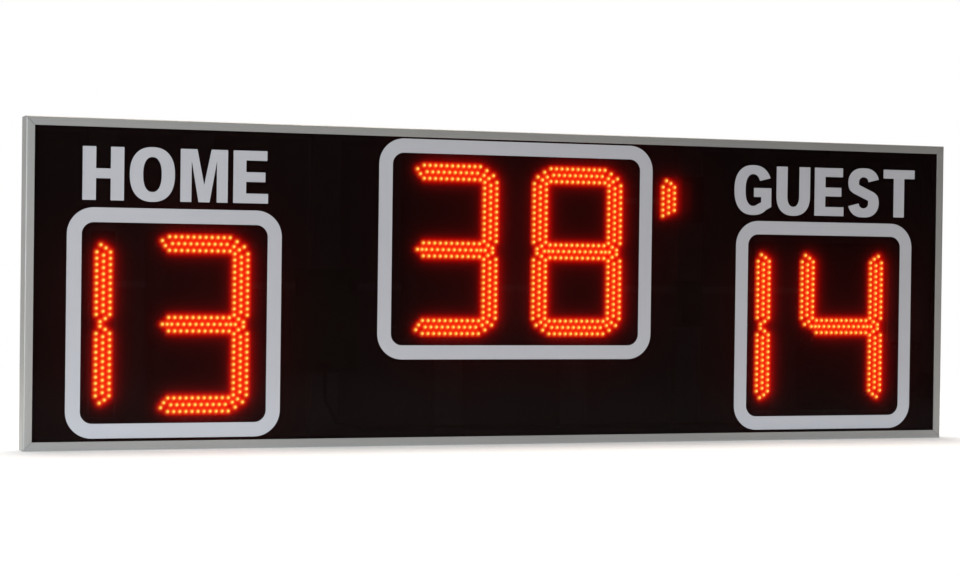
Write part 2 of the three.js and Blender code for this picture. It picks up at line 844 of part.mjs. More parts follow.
function inletBody() {
  const flangeWidth = inletWidth + 2 * inletFlangeLap;
  const flangeHeight = inletHeight + 2 * inletFlangeLap;
  const flange = outward(roundedRectangle(flangeWidth, flangeHeight, inletCorner), 0, inletFlange);
  const body = outward(rectangle(inletWidth, inletHeight), -inletDepth, inletDepth + inletFlange / 2);
  const open = inletFlange + cutOverrun;
  const rockerWell = rectangle(rockerWellWidth, rockerWellHeight, 0, rockerZ);
  const slot = rectangle(drawerWidth + 2 * seatGap, drawerSlotHeight, 0, drawerZ);
  const slotDeep = drawerLength - inletFlange + seatGap;
  const bore = axle(axleRadius + seatGap, rockerWellHeight + 2 * (axleReach + seatGap));
  bore.translate(-axleDepth, 0, rockerZ);
  const cuts = [
    outward(rockerWell, -rockerWellDeep, rockerWellDeep + open),
    outward(slot, -slotDeep, slotDeep + open),
    outward(socketShape(), -socketDeep, socketDeep + open),
    bore,
  ];
  for (const [, across, up] of pins) {
    const hole = rectangle(pinThick + 2 * seatGap, pinWide + 2 * seatGap, across, up);
    cuts.push(outward(hole, -inletDepth - cutOverrun, inletDepth));
  }
  return toGeometry(cut(fuse(toSolid(flange), [body]), cuts));
}

piece('inlet_body', inletBody(), finishes.blackPlastic, inlet);
for (const [name, across, up] of pins) {
  const from = -inletDepth - pinTab;
  const pin = outward(rectangle(pinThick, pinWide, across, up), from, -pinRecess - from);
  piece(name, pin, finishes.brass, inlet);
}

// Rocker: pressed in on one side at rest, on an axle that runs along Z
function rocker() {
  const skirtHalf = rockerHalf - rockerTaper;
  const shape = polygon([
    [rockerRise, -rockerHalf],
    [rockerDip, 0],
    [rockerRise, rockerHalf],
    [-rockerSkirt, skirtHalf],
    [-rockerRoot, rockerRootHalf],
    [-rockerRoot, -rockerRootHalf],
    [-rockerSkirt, -skirtHalf],
  ]);
  const paddle = extrude(shape, rockerThick);
  paddle.translate(0, 0, -rockerThick / 2);
  return toGeometry(fuse(toSolid(paddle), [axle(axleRadius, rockerThick + 2 * (seatGap + axleReach))]));
}

const rockerMesh = piece('power_rocker', rocker(), finishes.blackPlastic, inlet);
rockerMesh.position.set(-axleDepth, 0, rockerZ);
rockerMesh.rotation.z = rockerTilt;

// Fuse drawer, open at the top, and the fuse lying across it
const pocketWidth = 2 * (fuseCapRadius + seatGap);
const fuseX = inletFlange - drawerNose - pocketWidth / 2;
const drawerLow = drawerZ - drawerHeight / 2;

function fuseDrawer() {
  const front = rectangle(drawerWidth, drawerHeight, 0, drawerZ);
  const tray = outward(front, inletFlange - drawerLength, drawerLength);
  const pocket = new THREE.BoxGeometry(pocketWidth, fuseLength + 2 * seatGap, drawerHeight);
  pocket.translate(fuseX, 0, drawerZ + drawerFloor);
  const grip = new THREE.BoxGeometry(2 * gripDeep, gripWidth, gripHeight);
  grip.translate(inletFlange, 0, drawerZ);
  return toGeometry(cut(toSolid(tray), [pocket, grip]));
}

function fuseBody() {
  const half = fuseLength / 2;
  const shoulder = half - fuseCapLength;
  const profile = [
    [0, -half],
    [fuseCapRadius, -half],
    [fuseCapRadius, -shoulder],
    [fuseGlassRadius, -shoulder],
    [fuseGlassRadius, shoulder],
    [fuseCapRadius, shoulder],
    [fuseCapRadius, half],
    [0, half],
  ];
  return new THREE.LatheGeometry(profile.map(([x, y]) => new THREE.Vector2(x, y)), fuseSides);
}

piece('fuse_drawer', fuseDrawer(), finishes.blackPlastic, inlet);
const fuseMesh = piece('fuse', fuseBody(), finishes.glass, inlet);
fuseMesh.position.set(fuseX, 0, drawerLow + drawerFloor + seatGap + fuseCapRadius);

// Ribbon leads: each lies on the edges of the two boards that it joins
const linkBack = circuitFront - seatGap;
const linkRuns = [
  ['ribbon_home_digits', homeTensX + oneWidth / 2, homeUnitsX - digitWidth / 2, 0],
  ['ribbon_home_controller', homeUnitsX + digitWidth / 2, -hangerX - controllerWidth / 2, 0],
  ['ribbon_controller_time', -hangerX + controllerWidth / 2, timeTensX - digitWidth / 2, 0],
  ['ribbon_time_digits', timeTensX + digitWidth / 2, timeUnitsX - digitWidth / 2, 0],
  ['ribbon_time_mark', timeUnitsX + digitWidth / 2, markLeft, markZ],
  ['ribbon_time_receiver', timeUnitsX + digitWidth / 2, hangerX - receiverWidth / 2, 0],
  ['ribbon_receiver_guest', hangerX + receiverWidth / 2, guestTensX - oneWidth / 2, 0],
  ['ribbon_guest_digits', guestTensX + oneWidth / 2, guestUnitsX - digitWidth / 2, 0],
];
for (const [name, left, right, z] of linkRuns) {
  const length = right - left + 2 * linkLap;
  const middle = (left + right) / 2;
  piece(name, block(length, linkWidth, middle, z, linkBack - linkThick, linkBack), finishes.ribbon);
}

// Mains lead: from the inlet's tabs, round one bend and up to the power supply
const mainsY = inletY;
const mainsPath = bentPath([
  new THREE.Vector3(inletX - inletDepth - pinTab, mainsY, inletZ + socketZ),
  new THREE.Vector3(supplyX, mainsY, inletZ + socketZ),
  new THREE.Vector3(supplyX, mainsY, supplyLow - seatGap),
], mainsLeadBend);
piece('mains_lead', lead(mainsPath, mainsLeadRadius, mainsLeadSteps), finishes.cable);

// Low-voltage lead: along the bottom, in front of the channels, and up to the controller
const powerY = channelFront - seatGap - powerLeadRadius - boardDepth;
const powerZ = powerLeadInset - boardHeight / 2;
const powerPath = bentPath([
  new THREE.Vector3(supplyX - powerLeadEntry, powerY, supplyLow - seatGap),
  new THREE.Vector3(supplyX - powerLeadEntry, powerY, powerZ),
  new THREE.Vector3(-hangerX, powerY, powerZ),
  new THREE.Vector3(-hangerX, powerY, controllerLow - seatGap),
], powerLeadBend);
piece('power_lead', lead(powerPath, powerLeadRadius, powerLeadSteps), finishes.cable);

export default board;
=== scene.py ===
import math

import bmesh
import bpy
import numpy as np
from mathutils import Matrix, Vector


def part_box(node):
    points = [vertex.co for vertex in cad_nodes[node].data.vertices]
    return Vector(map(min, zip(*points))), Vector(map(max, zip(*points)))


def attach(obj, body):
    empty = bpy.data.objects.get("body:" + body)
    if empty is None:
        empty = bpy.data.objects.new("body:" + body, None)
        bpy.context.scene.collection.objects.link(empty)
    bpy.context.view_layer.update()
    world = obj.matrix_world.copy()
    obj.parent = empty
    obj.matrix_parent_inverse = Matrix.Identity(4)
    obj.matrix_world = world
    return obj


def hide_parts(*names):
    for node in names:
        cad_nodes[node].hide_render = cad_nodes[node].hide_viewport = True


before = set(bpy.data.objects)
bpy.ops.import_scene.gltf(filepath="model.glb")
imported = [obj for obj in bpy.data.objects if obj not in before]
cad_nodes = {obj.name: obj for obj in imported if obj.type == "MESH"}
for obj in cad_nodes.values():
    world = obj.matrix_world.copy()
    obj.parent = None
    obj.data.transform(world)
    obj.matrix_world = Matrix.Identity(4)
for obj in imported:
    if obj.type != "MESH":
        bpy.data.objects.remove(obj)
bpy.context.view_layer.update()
scene = bpy.context.scene
scene.view_settings.view_transform = "Standard"


# Camera: at the height of the board's middle, well to its left, so that the board runs away to the
# right and shows its front and the outer side of its left rail.
def linked(name, data):
    """An object of the scene that holds the given data."""
    made = bpy.data.objects.new(name, data)
    scene.collection.objects.link(made)
    return made


camera = linked("camera", bpy.data.cameras.new("camera"))
camera.location = (-1.38659, -3.78553, 0.03964)
camera.rotation_euler = [math.radians(turn) for turn in (89.43604, -0.73656, -19.40658)]
camera.data.lens = 84.196
camera.data.sensor_width = 36.0
scene.camera = camera


# Frame: four rails of extruded aluminium, satin anodised, with fine drawing lines along each. They
# are mitred at 45 degrees, and their thin front lips hold the panel.
RAIL_EDGE = 0.0003
RAIL_COLOUR = (0.388, 0.378, 0.362)
DUST_COLOUR = (0.42, 0.40, 0.37, 1)
NOISE_RANGE = (0.3, 0.7)
GRAIN_DETAIL = 3.0
TONE_SCALE = 4.0
TONE_DETAIL = 4.0
SPECK_SCALE = 700.0
SPECK_DETAIL = 2.0
SPECK_GAIN = 1.5
DUST_FROM = 0.5
RUB_SCALE = 45.0
RUB_DETAIL = 5.0
RUB_RANGE = (0.42, 0.62)
SAME_POINT = 1e-6
SAME_PLANE = math.radians(0.5)
SHARP_FROM = math.radians(28)
EDGE_STEPS = 2


def add(tree, kind, inputs=None, **settings):
    """A node in a tree, with its settings, and its inputs given as values or as other outputs."""
    node = tree.nodes.new(kind)
    for name, value in settings.items():
        setattr(node, name, value)
    for name, value in (inputs or {}).items():
        if isinstance(value, bpy.types.NodeSocket):
            tree.links.new(value, node.inputs[name])
        else:
            node.inputs[name].default_value = value
    return node


def maths(tree, operation, *values):
    return add(tree, "ShaderNodeMath", dict(enumerate(values)), operation=operation).outputs[0]


def spread(tree, value, start, end, low=0.0, high=1.0, ease="LINEAR"):
    """A value brought from the range start to end into the range low to high, and held there."""
    given = {"Value": value, "From Min": start, "From Max": end, "To Min": low, "To Max": high}
    return add(tree, "ShaderNodeMapRange", given, interpolation_type=ease).outputs[0]


def scaled(tree, colour, factor):
    given = {0: colour, "Scale": factor}
    return add(tree, "ShaderNodeVectorMath", given, operation="SCALE").outputs[0]


def mixed(tree, factor, first, second):
    """One colour going over into another."""
    given = {"Factor": factor, "A": first, "B": second}
    return add(tree, "ShaderNodeMix", given, data_type="RGBA").outputs["Result"]


def noise(tree, place, scale, detail):
    given = {"Vector": place, "Scale": scale, "Detail": detail}
    return add(tree, "ShaderNodeTexNoise", given).outputs[0]


def here(tree):
    """The place on the piece, in its object's coordinates."""
    return add(tree, "ShaderNodeTexCoord").outputs["Object"]


def stored(tree, name, output="Fac"):
    """What the mesh holds at each point under a name."""
    return add(tree, "ShaderNodeAttribute", attribute_name=name).outputs[output]


def node_group(name, kind, inputs, outputs):
    """A node group with named sockets, what it is given and what it puts out."""
    tree = bpy.data.node_groups.new(name, kind)
    for label, of, default in inputs:
        socket = tree.interface.new_socket(label, in_out="INPUT", socket_type="NodeSocket" + of)
        if default is not None:
            socket.default_value = default
    for label, of in outputs:
        tree.interface.new_socket(label, in_out="OUTPUT", socket_type="NodeSocket" + of)
    given = tree.nodes.new("NodeGroupInput").outputs
    return tree, given, tree.nodes.new("NodeGroupOutput").inputs


def make_grain():
    """Noise stretched along one direction: drawn metal, moulded texture or paint."""
    tree, given, out = node_group(
        "surface grain", "ShaderNodeTree",
        [("Stretch", "Vector", (1, 1, 1)), ("Scale", "Float", 400.0)],
        [("Value", "Float")],
    )
    drawn = add(tree, "ShaderNodeMapping", {"Vector": here(tree), "Scale": given["Stretch"]})
    lines = noise(tree, drawn.outputs[0], given["Scale"], GRAIN_DETAIL)
    tree.links.new(spread(tree, lines, *NOISE_RANGE), out["Value"])
    return tree


def make_drift():
    """Slow change of tone over a surface, and a film of dust on what faces up."""
    tree, given, out = node_group(
        "tone and dust", "ShaderNodeTree",
        [("Colour", "Color", (0.5, 0.5, 0.5, 1)), ("Drift", "Float", 0.08), ("Dust", "Float", 0.2)],
        [("Colour", "Color"), ("Dust", "Float")],
    )
    place = here(tree)
    slow = spread(tree, noise(tree, place, TONE_SCALE, TONE_DETAIL), *NOISE_RANGE, low=-1.0)
    level = maths(tree, "ADD", maths(tree, "MULTIPLY", slow, given["Drift"]), 1.0)
    facing = add(tree, "ShaderNodeNewGeometry").outputs["Normal"]
    upward = add(tree, "ShaderNodeSeparateXYZ", {0: facing}).outputs["Z"]
    specks = maths(tree, "MULTIPLY", noise(tree, place, SPECK_SCALE, SPECK_DETAIL), SPECK_GAIN)
    settled = maths(tree, "MULTIPLY", spread(tree, upward, DUST_FROM, 1.0), specks)
    film = maths(tree, "MULTIPLY", settled, given["Dust"])
    dusty = mixed(tree, film, scaled(tree, given["Colour"], level), DUST_COLOUR)
    tree.links.new(dusty, out["Colour"])
    tree.links.new(film, out["Dust"])
    return tree


def make_edge_wear():
    """Where edges are rubbed: the crest of each taken-off edge, broken up by noise."""
    tree, given, out = node_group(
        "rubbed edges", "ShaderNodeTree", [("Amount", "Float", 0.5)], [("Mask", "Float")]
    )
    patches = spread(tree, noise(tree, here(tree), RUB_SCALE, RUB_DETAIL), *RUB_RANGE)
    rubbed = maths(tree, "MULTIPLY", stored(tree, "edge"), patches)
    tree.links.new(maths(tree, "MULTIPLY", rubbed, given["Amount"]), out["Mask"])
    return tree


grain_group = make_grain()
drift_group = make_drift()
wear_group = make_edge_wear()


def placed(tree, group, **values):
    """A shader node group placed in a material with its own values."""
    return add(tree, "ShaderNodeGroup", values, node_tree=group).outputs


def new_material(name):
    material = bpy.data.materials.new(name)
    material.use_nodes = True
    return material


def opened(material):
    """The node tree of a material and its surface shader."""
    return material.node_tree, material.node_tree.nodes["Principled BSDF"]


def finish_of(name, colour, rough, grain_scale, bump, metal=0.0, grain=(1, 1, 1), rough_spread=0.1,
              drift=0.06, dust=0.15, wear=0.0, worn=(0.55, 0.55, 0.54), specular=0.5):
    """A surface with its own grain, slow drift of tone, dust and rubbed edges."""
    material = new_material(name)
    tree, shader = opened(material)
    shader.inputs["Metallic"].default_value = metal
    shader.inputs["Specular IOR Level"].default_value = specular
    lines = placed(tree, grain_group, Stretch=grain, Scale=grain_scale)["Value"]
    tone = placed(tree, drift_group, Colour=(*colour, 1), Drift=drift, Dust=dust)
    mask = placed(tree, wear_group, Amount=wear)["Mask"]
    rubbed = mixed(tree, mask, tone["Colour"], (*worn, 1))
    tree.links.new(rubbed, shader.inputs["Base Color"])
    uneven = spread(tree, lines, 0.0, 1.0, rough - rough_spread / 2, rough + rough_spread / 2)
    tree.links.new(maths(tree, "ADD", uneven, tone["Dust"]), shader.inputs["Roughness"])
    relief = add(tree, "ShaderNodeBump", {"Height": lines, "Distance": bump, "Strength": 1.0})
    tree.links.new(relief.outputs[0], shader.inputs["Normal"])
    return material


def merged(mesh):
    """A working copy of a mesh, with its doubled points merged."""
    work = bmesh.new()
    work.from_mesh(mesh)
    bmesh.ops.remove_doubles(work, verts=work.verts, dist=SAME_POINT)
    return work


def mesh_of(work, name):
    """The mesh of a working copy, which is freed."""
    mesh = bpy.data.meshes.new(name)
    work.to_mesh(mesh)
    work.free()
    return mesh


def shaded(mesh, angle=30):
    """Smooth shading that stops at edges sharper than the angle."""
    mesh.shade_smooth()
    mesh.set_sharp_from_angle(angle=math.radians(angle))
    return mesh


def eased(node, width):
    """A merged copy of a CAD node's mesh with its sharp edges taken off, and the crests marked."""
    work = merged(cad_nodes[node].data)
    bmesh.ops.dissolve_limit(work, angle_limit=SAME_PLANE, verts=work.verts, edges=work.edges)
    sharp = [e for e in work.edges if e.is_manifold and e.calc_face_angle() > SHARP_FROM]
    made = bmesh.ops.bevel(
        work, geom=sharp, offset=width, segments=EDGE_STEPS, profile=0.5, affect="EDGES",
        clamp_overlap=True,
    )
    new_faces = set(made["faces"])
    work.verts.index_update()
    crests = [v.index for v in made["verts"] if all(f in new_faces for f in v.link_faces)]
    mesh = mesh_of(work, node + "_eased")
    marks = np.zeros(len(mesh.vertices), np.float32)
    marks[crests] = 1.0
    mesh.attributes.new("edge", "FLOAT", "POINT").data.foreach_set("value", marks)
    return shaded(mesh)


def coated(mesh, material):
    """A mesh in one finish all over."""
    mesh.materials.clear()
    mesh.materials.append(material)
    return mesh


def stands_for(piece, node, body):
    """Hides the CAD node that a finished piece stands in for, and hangs the piece on its body."""
    if node:
        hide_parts(node)
    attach(piece, body)


def fitted(name, node, mesh, material, body="board"):
    """A finished piece in one finish, evenly shaded on its flats, that moves with its body."""
    piece = linked(name, coated(mesh, material))
    flats = piece.modifiers.new("true flats", "WEIGHTED_NORMAL")
    flats.keep_sharp = True
    stands_for(piece, node, body)


def fitted_node(name, node, width, material, body="board"):
    """A finished piece in the shape of a CAD node, with its edges taken off by a width."""
    fitted(name, node, eased(node, width), material, body)


def rail_finish(name, grain):
    """Satin anodising, drawn along the direction in which its grain is long."""
    return finish_of(
        name, RAIL_COLOUR, rough=0.52, grain_scale=900, bump=0.00002, metal=0.66, grain=grain,
        rough_spread=0.12, drift=0.03, dust=0.25, wear=0.15,
    )


along_x = rail_finish("anodised along x", (0.02, 1, 1))
along_z = rail_finish("anodised along z", (1, 1, 0.02))
for side, finish in (("bottom", along_x), ("left", along_z), ("top", along_x), ("right", along_z)):
    fitted_node("rail_" + side, "frame_" + side, RAIL_EDGE, finish)


# Corner keys: L-shaped bars of die-cast zinc, pushed between the ribs of two rails. Grub screws
# spread them until the mitre closes.
KEY_EDGE = 0.0006
cast_zinc = finish_of(
    "cast zinc", (0.36, 0.37, 0.38), rough=0.5, grain_scale=260, bump=0.00006, metal=0.85,
    drift=0.12,
)
for corner in ("bottom_left", "bottom_right", "top_right", "top_left"):
    fitted_node("key_" + corner, "corner_key_" + corner, KEY_EDGE, cast_zinc)


# Support channels: folded from galvanised sheet, with the frosted, slightly patchy spangle of
# hot-dipped zinc. They stand between the top and bottom rails and carry the lamp boards.
FOLD_EDGE = 0.0003
SPANGLE_SCALE = 90.0
SPANGLE_TONES = (0.82, 1.1)


def make_zinc_sheet():
    material = finish_of(
        "galvanised sheet", (0.36, 0.375, 0.39), rough=0.45, grain_scale=90, bump=0.00002,
        metal=0.75, drift=0.08, wear=0.3,
    )
    tree, shader = opened(material)
    spangle = add(tree, "ShaderNodeTexVoronoi", {"Vector": here(tree), "Scale": SPANGLE_SCALE})
    crystal = add(tree, "ShaderNodeSeparateColor", {0: spangle.outputs["Color"]})
    shade = spread(tree, crystal.outputs[0], 0.0, 1.0, *SPANGLE_TONES)
    colour = shader.inputs["Base Color"]
    tree.links.new(scaled(tree, colour.links[0].from_socket, shade), colour)
    return material


zinc_sheet = make_zinc_sheet()
for place in (
    "home_tens", "home_units", "hanger_left", "time_tens", "time_units", "hanger_right",
    "guest_tens", "guest_units",
):
    fitted_node("support_" + place, "channel_" + place, FOLD_EDGE, zinc_sheet)


# Outlines and words: cut from thin silver-grey vinyl foil and stuck on the panel's face, a border
# round each display and the name of each side above its score.
FOIL_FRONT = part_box("time_outline")[0].y
FOIL_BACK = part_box("time_outline")[1].y
OUTLINE_BAND = 0.0247
OUTLINE_RADIUS = 0.045
CORNER_STEPS = 20
CAP_HEIGHT = 0.0895
CAP_LOW = 0.1405
STEM = 0.0225
BAR = 0.0166
MIDDLE = CAP_HEIGHT / 2
ARM_LOW = MIDDLE - BAR / 2
ARM_HIGH = MIDDLE + BAR / 2
TOP_BAR_LOW = CAP_HEIGHT - BAR
OVERSHOOT = 0.0012
LETTER_GAP = 0.0095
OVAL_POWER = 2.35
BEND_POWER = 2.2


def arc(cx, cz, rx, rz, start, end, steps=CORNER_STEPS, power=2.0):
    """Points of a rounded corner or bowl, from one angle to another, in degrees."""
    points = []
    for i in range(steps + 1):
        angle = math.radians(start + (end - start) * i / steps)
        c, s = math.cos(angle), math.sin(angle)
        reach = (abs(c) ** power + abs(s) ** power) ** (-1 / power)
        points.append((cx + rx * c * reach, cz + rz * s * reach))
    return points


def rounded(low, high, inset, radius):
    """The front of a box, drawn in by the inset, with rounded corners."""
    x0, x1 = low.x + inset + radius, high.x - inset - radius
    z0, z1 = low.z + inset + radius, high.z - inset - radius
    return (
        arc(x1, z1, radius, radius, 0, 90)
        + arc(x0, z1, radius, radius, 90, 180)
        + arc(x0, z0, radius, radius, 180, 270)
        + arc(x1, z0, radius, radius, 270, 360)
    )


def foil_mesh(name, outlines):
    """A flat cut-out in the plane of the panel, as thick as the foil, from its outlines."""
    flat = bpy.data.curves.new(name, "CURVE")
    flat.dimensions = "2D"
    flat.fill_mode = "BOTH"
    flat.extrude = (FOIL_BACK - FOIL_FRONT) / 2
    for points in outlines:
        spline = flat.splines.new("POLY")
        spline.points.add(len(points) - 1)
        for place, (x, z) in zip(spline.points, points):
            place.co = (x, z, 0, 1)
        spline.use_cyclic_u = True
    drawn = linked(name + "_flat", flat)
    graph = bpy.context.evaluated_depsgraph_get()
    mesh = bpy.data.meshes.new_from_object(drawn.evaluated_get(graph))
    bpy.data.objects.remove(drawn)
    on_panel = Matrix.Translation((0, (FOIL_FRONT + FOIL_BACK) / 2, 0))
    mesh.transform(on_panel @ Matrix.Rotation(math.pi / 2, 4, "X"))
    work = merged(mesh)
    bmesh.ops.recalc_face_normals(work, faces=work.faces)
    return mesh_of(work, name)


foil = finish_of(
    "silver foil", (0.462, 0.454, 0.478), rough=0.45, grain_scale=1500, bump=0.00001,
    drift=0.02, dust=0.05,
)
for side in ("home", "time", "guest"):
    low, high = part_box(side + "_outline")
    outer = rounded(low, high, 0, OUTLINE_RADIUS)
    inner = rounded(low, high, OUTLINE_BAND, OUTLINE_RADIUS - OUTLINE_BAND)
    border = foil_mesh(side + "_border", [outer, inner])
    fitted(side + "_border", side + "_outline", border, foil)


def oval(w, centre, start, end, steps, inside=False):
    """Part of the outer or inner edge of a letter's bowl, between two angles in degrees."""
    stem, bar = (STEM, BAR) if inside else (0, 0)
    high = centre + OVERSHOOT - bar
    return arc(w / 2, centre, w / 2 - stem, high, start, end, steps, OVAL_POWER)


def letter_h(w):
    right = w - STEM
    return [[
        (0, 0), (STEM, 0), (STEM, ARM_LOW), (right, ARM_LOW), (right, 0), (w, 0), (w, CAP_HEIGHT),
        (right, CAP_HEIGHT), (right, ARM_HIGH), (STEM, ARM_HIGH), (STEM, CAP_HEIGHT),
        (0, CAP_HEIGHT),
    ]]


def letter_o(w):
    steps = 63
    return [
        oval(w, MIDDLE, 0, 360, steps)[:-1],
        oval(w, MIDDLE, 0, 360, steps, inside=True)[:-1],
    ]


def letter_m(w):
    post, shoulder, foot = 0.019, 0.0285, 0.0095
    crook, dip = 0.78 * CAP_HEIGHT, 0.33 * CAP_HEIGHT
    return [[
        (0, 0), (post, 0), (post, crook), (w / 2 - foot, 0), (w / 2 + foot, 0), (w - post, crook),
        (w - post, 0), (w, 0), (w, CAP_HEIGHT), (w - shoulder, CAP_HEIGHT), (w / 2, dip),
        (shoulder, CAP_HEIGHT), (0, CAP_HEIGHT),
    ]]


def letter_e(w):
    arm, top = w - 0.005, w - 0.002
    return [[
        (0, 0), (w, 0), (w, BAR), (STEM, BAR), (STEM, ARM_LOW), (arm, ARM_LOW), (arm, ARM_HIGH),
        (STEM, ARM_HIGH), (STEM, TOP_BAR_LOW), (top, TOP_BAR_LOW), (top, CAP_HEIGHT),
        (0, CAP_HEIGHT),
    ]]


def letter_t(w):
    left, right = (w - STEM) / 2, (w + STEM) / 2
    return [[
        (left, 0), (right, 0), (right, TOP_BAR_LOW), (w, TOP_BAR_LOW), (w, CAP_HEIGHT),
        (0, CAP_HEIGHT), (0, TOP_BAR_LOW), (left, TOP_BAR_LOW),
    ]]


def letter_u(w):
    bowl, steps = 0.036, 32
    return [[
        (0, CAP_HEIGHT), *oval(w, bowl, 180, 360, steps), (w, CAP_HEIGHT), (w - STEM, CAP_HEIGHT),
        *oval(w, bowl, 360, 180, steps, inside=True), (STEM, CAP_HEIGHT),
    ]]


def letter_g(w):
    jaw = w - 0.001
    jaw_low, throat_low = 0.014, 0.0225
    ledge = MIDDLE + 0.004
    ledge_left, throat = 0.52 * w, jaw - STEM * 0.92
    return [[
        *oval(w, MIDDLE, 28, 312, 56), (jaw, jaw_low), (jaw, ledge), (ledge_left, ledge),
        (ledge_left, ledge - BAR), (throat, ledge - BAR), (throat, throat_low),
        *oval(w, MIDDLE, 300, 34, 52, inside=True),
    ]]


def letter_s(w):
    """Two bends in one line, widened to a stroke on both its sides."""
    rise = (CAP_HEIGHT + 2 * OVERSHOOT - BAR) / 4
    reach = (w - STEM) / 2
    line = arc(w / 2, MIDDLE + rise, reach, rise, 12, 215, 30, BEND_POWER)
    line += arc(w / 2, MIDDLE - rise, reach, rise, 35, -168, 30, BEND_POWER)
    left, right = [], []
    for i, (x, z) in enumerate(line):
        x0, z0 = line[max(i - 1, 0)]
        x1, z1 = line[min(i + 1, len(line) - 1)]
        length = math.hypot(x1 - x0, z1 - z0)
        dx, dz = (x1 - x0) / length, (z1 - z0) / length
        half = (BAR + (STEM - BAR) * abs(dz)) / 2
        left.append((x - dz * half, z + dx * half))
        right.append((x + dz * half, z - dx * half))
    return [left + right[::-1]]


LETTERS = {
    "h": (letter_h, 0.0695), "o": (letter_o, 0.0765), "m": (letter_m, 0.0815),
    "e": (letter_e, 0.061), "g": (letter_g, 0.0765), "u": (letter_u, 0.0695),
    "s": (letter_s, 0.065), "t": (letter_t, 0.0665),
}
for side in ("home", "guest"):
    low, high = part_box(side + "_outline")
    letters = [LETTERS[letter] for letter in side]
    span = sum(width for _, width in letters) + LETTER_GAP * (len(letters) - 1)
    x = (low.x + high.x - span) / 2
    cuts = []
    for draw, width in letters:
        cuts += [[(x + px, CAP_LOW + pz) for px, pz in points] for points in draw(width)]
        x += width + LETTER_GAP
    fitted(side + "_word", None, foil_mesh(side + "_word", cuts), foil)


# Lamp boards: a black circuit board for each digit with 5 mm red lamps in seven bars, three
# staggered rows to a bar, soldered on so that they stand through a black sheet that keeps the light
# of one bar off the next. The lamps' light round each lit lamp is painted on that sheet as a glow.
LAMP_RADIUS = 0.0025
LAMP_SIDES = 12
LAMP_FOOT = 1.16 * LAMP_RADIUS
LAMP_FOOT_THICK = 0.001
LAMP_DOME = [(1.0, 1.0, 0.2), (0.87, 0.5, 0.6), (0.5, 0.134, 0.95)]
LAMP_TIP = -0.0355
LAMP_COLOURS = [
    (0.0, (0.3, 0.006, 0.0)), (0.2, (0.6, 0.12, 0.01)),
    (0.6, (0.66, 0.25, 0.035)), (1.0, (1.0, 0.46, 0.09)),
]
LAMP_PITCH = 0.01043
ROW_PITCH = 0.0114
LAMPS_PER_ROW = 11
BAR_ACROSS = 0.0721
BAR_UP = 0.1364
OUTER_TIPS = [(0.0643, 0.0048), (0.0591, -0.0037)]
MIDDLE_TIPS = [(0.0547, 0.0), (0.0629, 0.0)]
MARK_ROWS = 6
MARK_TOP = (MARK_ROWS - 1) / 2 * LAMP_PITCH
MARK_POINT = [(-0.0048, 0.0378), (0.0037, 0.033)]
MARK_LEFT_TO_MIDDLE = 0.0199
MARK_TOP_TO_MIDDLE = 0.0463
CIRCUIT_FRONT = -0.0269
CIRCUIT_EDGE = 0.0001
SHEET_FRONT = -0.0318
SHEET_THICK = 0.0006
SHEET_MARGIN = 0.001
POST_INSET = 0.004
POST_HALF = 0.002
POST_EDGE = 0.0005
PANEL_FACE_SHARE = 0.74
BRIGHTEST = 1.6
LIGHT = BRIGHTEST / (1 - PANEL_FACE_SHARE) ** 2
GLOW_STEP = 0.002
GLOW_SPREAD = [(0.0027, (0.0, 0.34, 0.035)), (0.0065, (0.36, 0.001, 0.0))]
GLOW_MOST = (0.36, 0.36, 0.05)


def bar_lamps(tips):
    """Places of a bar's lamps, along and across its middle line."""
    lamps = []
    for row in (-1, 0, 1):
        count = LAMPS_PER_ROW - 1 if row == 0 else LAMPS_PER_ROW
        lamps += [((i - (count - 1) / 2) * LAMP_PITCH, row * ROW_PITCH) for i in range(count)]
    return lamps + [(end * along, across) for end in (-1, 1) for along, across in tips]


def flat_bar(z, outward, tips):
    return [(along, z + outward * across) for along, across in bar_lamps(tips)]


def upright_bar(x, z, outward):
    return [(x + outward * across, z + along) for along, across in bar_lamps(OUTER_TIPS)]


FULL_DIGIT = {
    "a": flat_bar(BAR_UP, 1, OUTER_TIPS),
    "g": flat_bar(0, 1, MIDDLE_TIPS),
    "d": flat_bar(-BAR_UP, -1, OUTER_TIPS),
    "b": upright_bar(BAR_ACROSS, BAR_UP / 2, 1),
    "c": upright_bar(BAR_ACROSS, -BAR_UP / 2, 1),
    "f": upright_bar(-BAR_ACROSS, BAR_UP / 2, -1),
    "e": upright_bar(-BAR_ACROSS, -BAR_UP / 2, -1),
}
ONE_DIGIT = {"f": upright_bar(0, BAR_UP / 2, -1), "e": upright_bar(0, -BAR_UP / 2, -1)}
MINUTE_MARK = {
    "m": MARK_POINT
    + [(-ROW_PITCH, MARK_TOP - i * LAMP_PITCH) for i in range(MARK_ROWS)]
    + [(0.0, MARK_TOP - (i + 0.5) * LAMP_PITCH) for i in range(MARK_ROWS - 1)]
    + [(ROW_PITCH, MARK_TOP - i * LAMP_PITCH) for i in range(MARK_ROWS - 1)]
}


def wall(work, lower, upper):
    """Faces from one ring of points to another."""
    for i in range(len(lower)):
        j = (i + 1) % len(lower)
        work.faces.new((lower[i], lower[j], upper[j], upper[i]))


def turned(work, profile, sides):
    """Rings of points round the Y axis, a radius and a y for each, with walls from ring to ring."""
    turns = [math.tau * i / sides for i in range(sides)]
    rings = [
        [work.verts.new((radius * math.cos(t), y, radius * math.sin(t))) for t in turns]
        for radius, y in profile
    ]
    for lower, upper in zip(rings, rings[1:]):
        wall(work, lower, upper)
    return rings


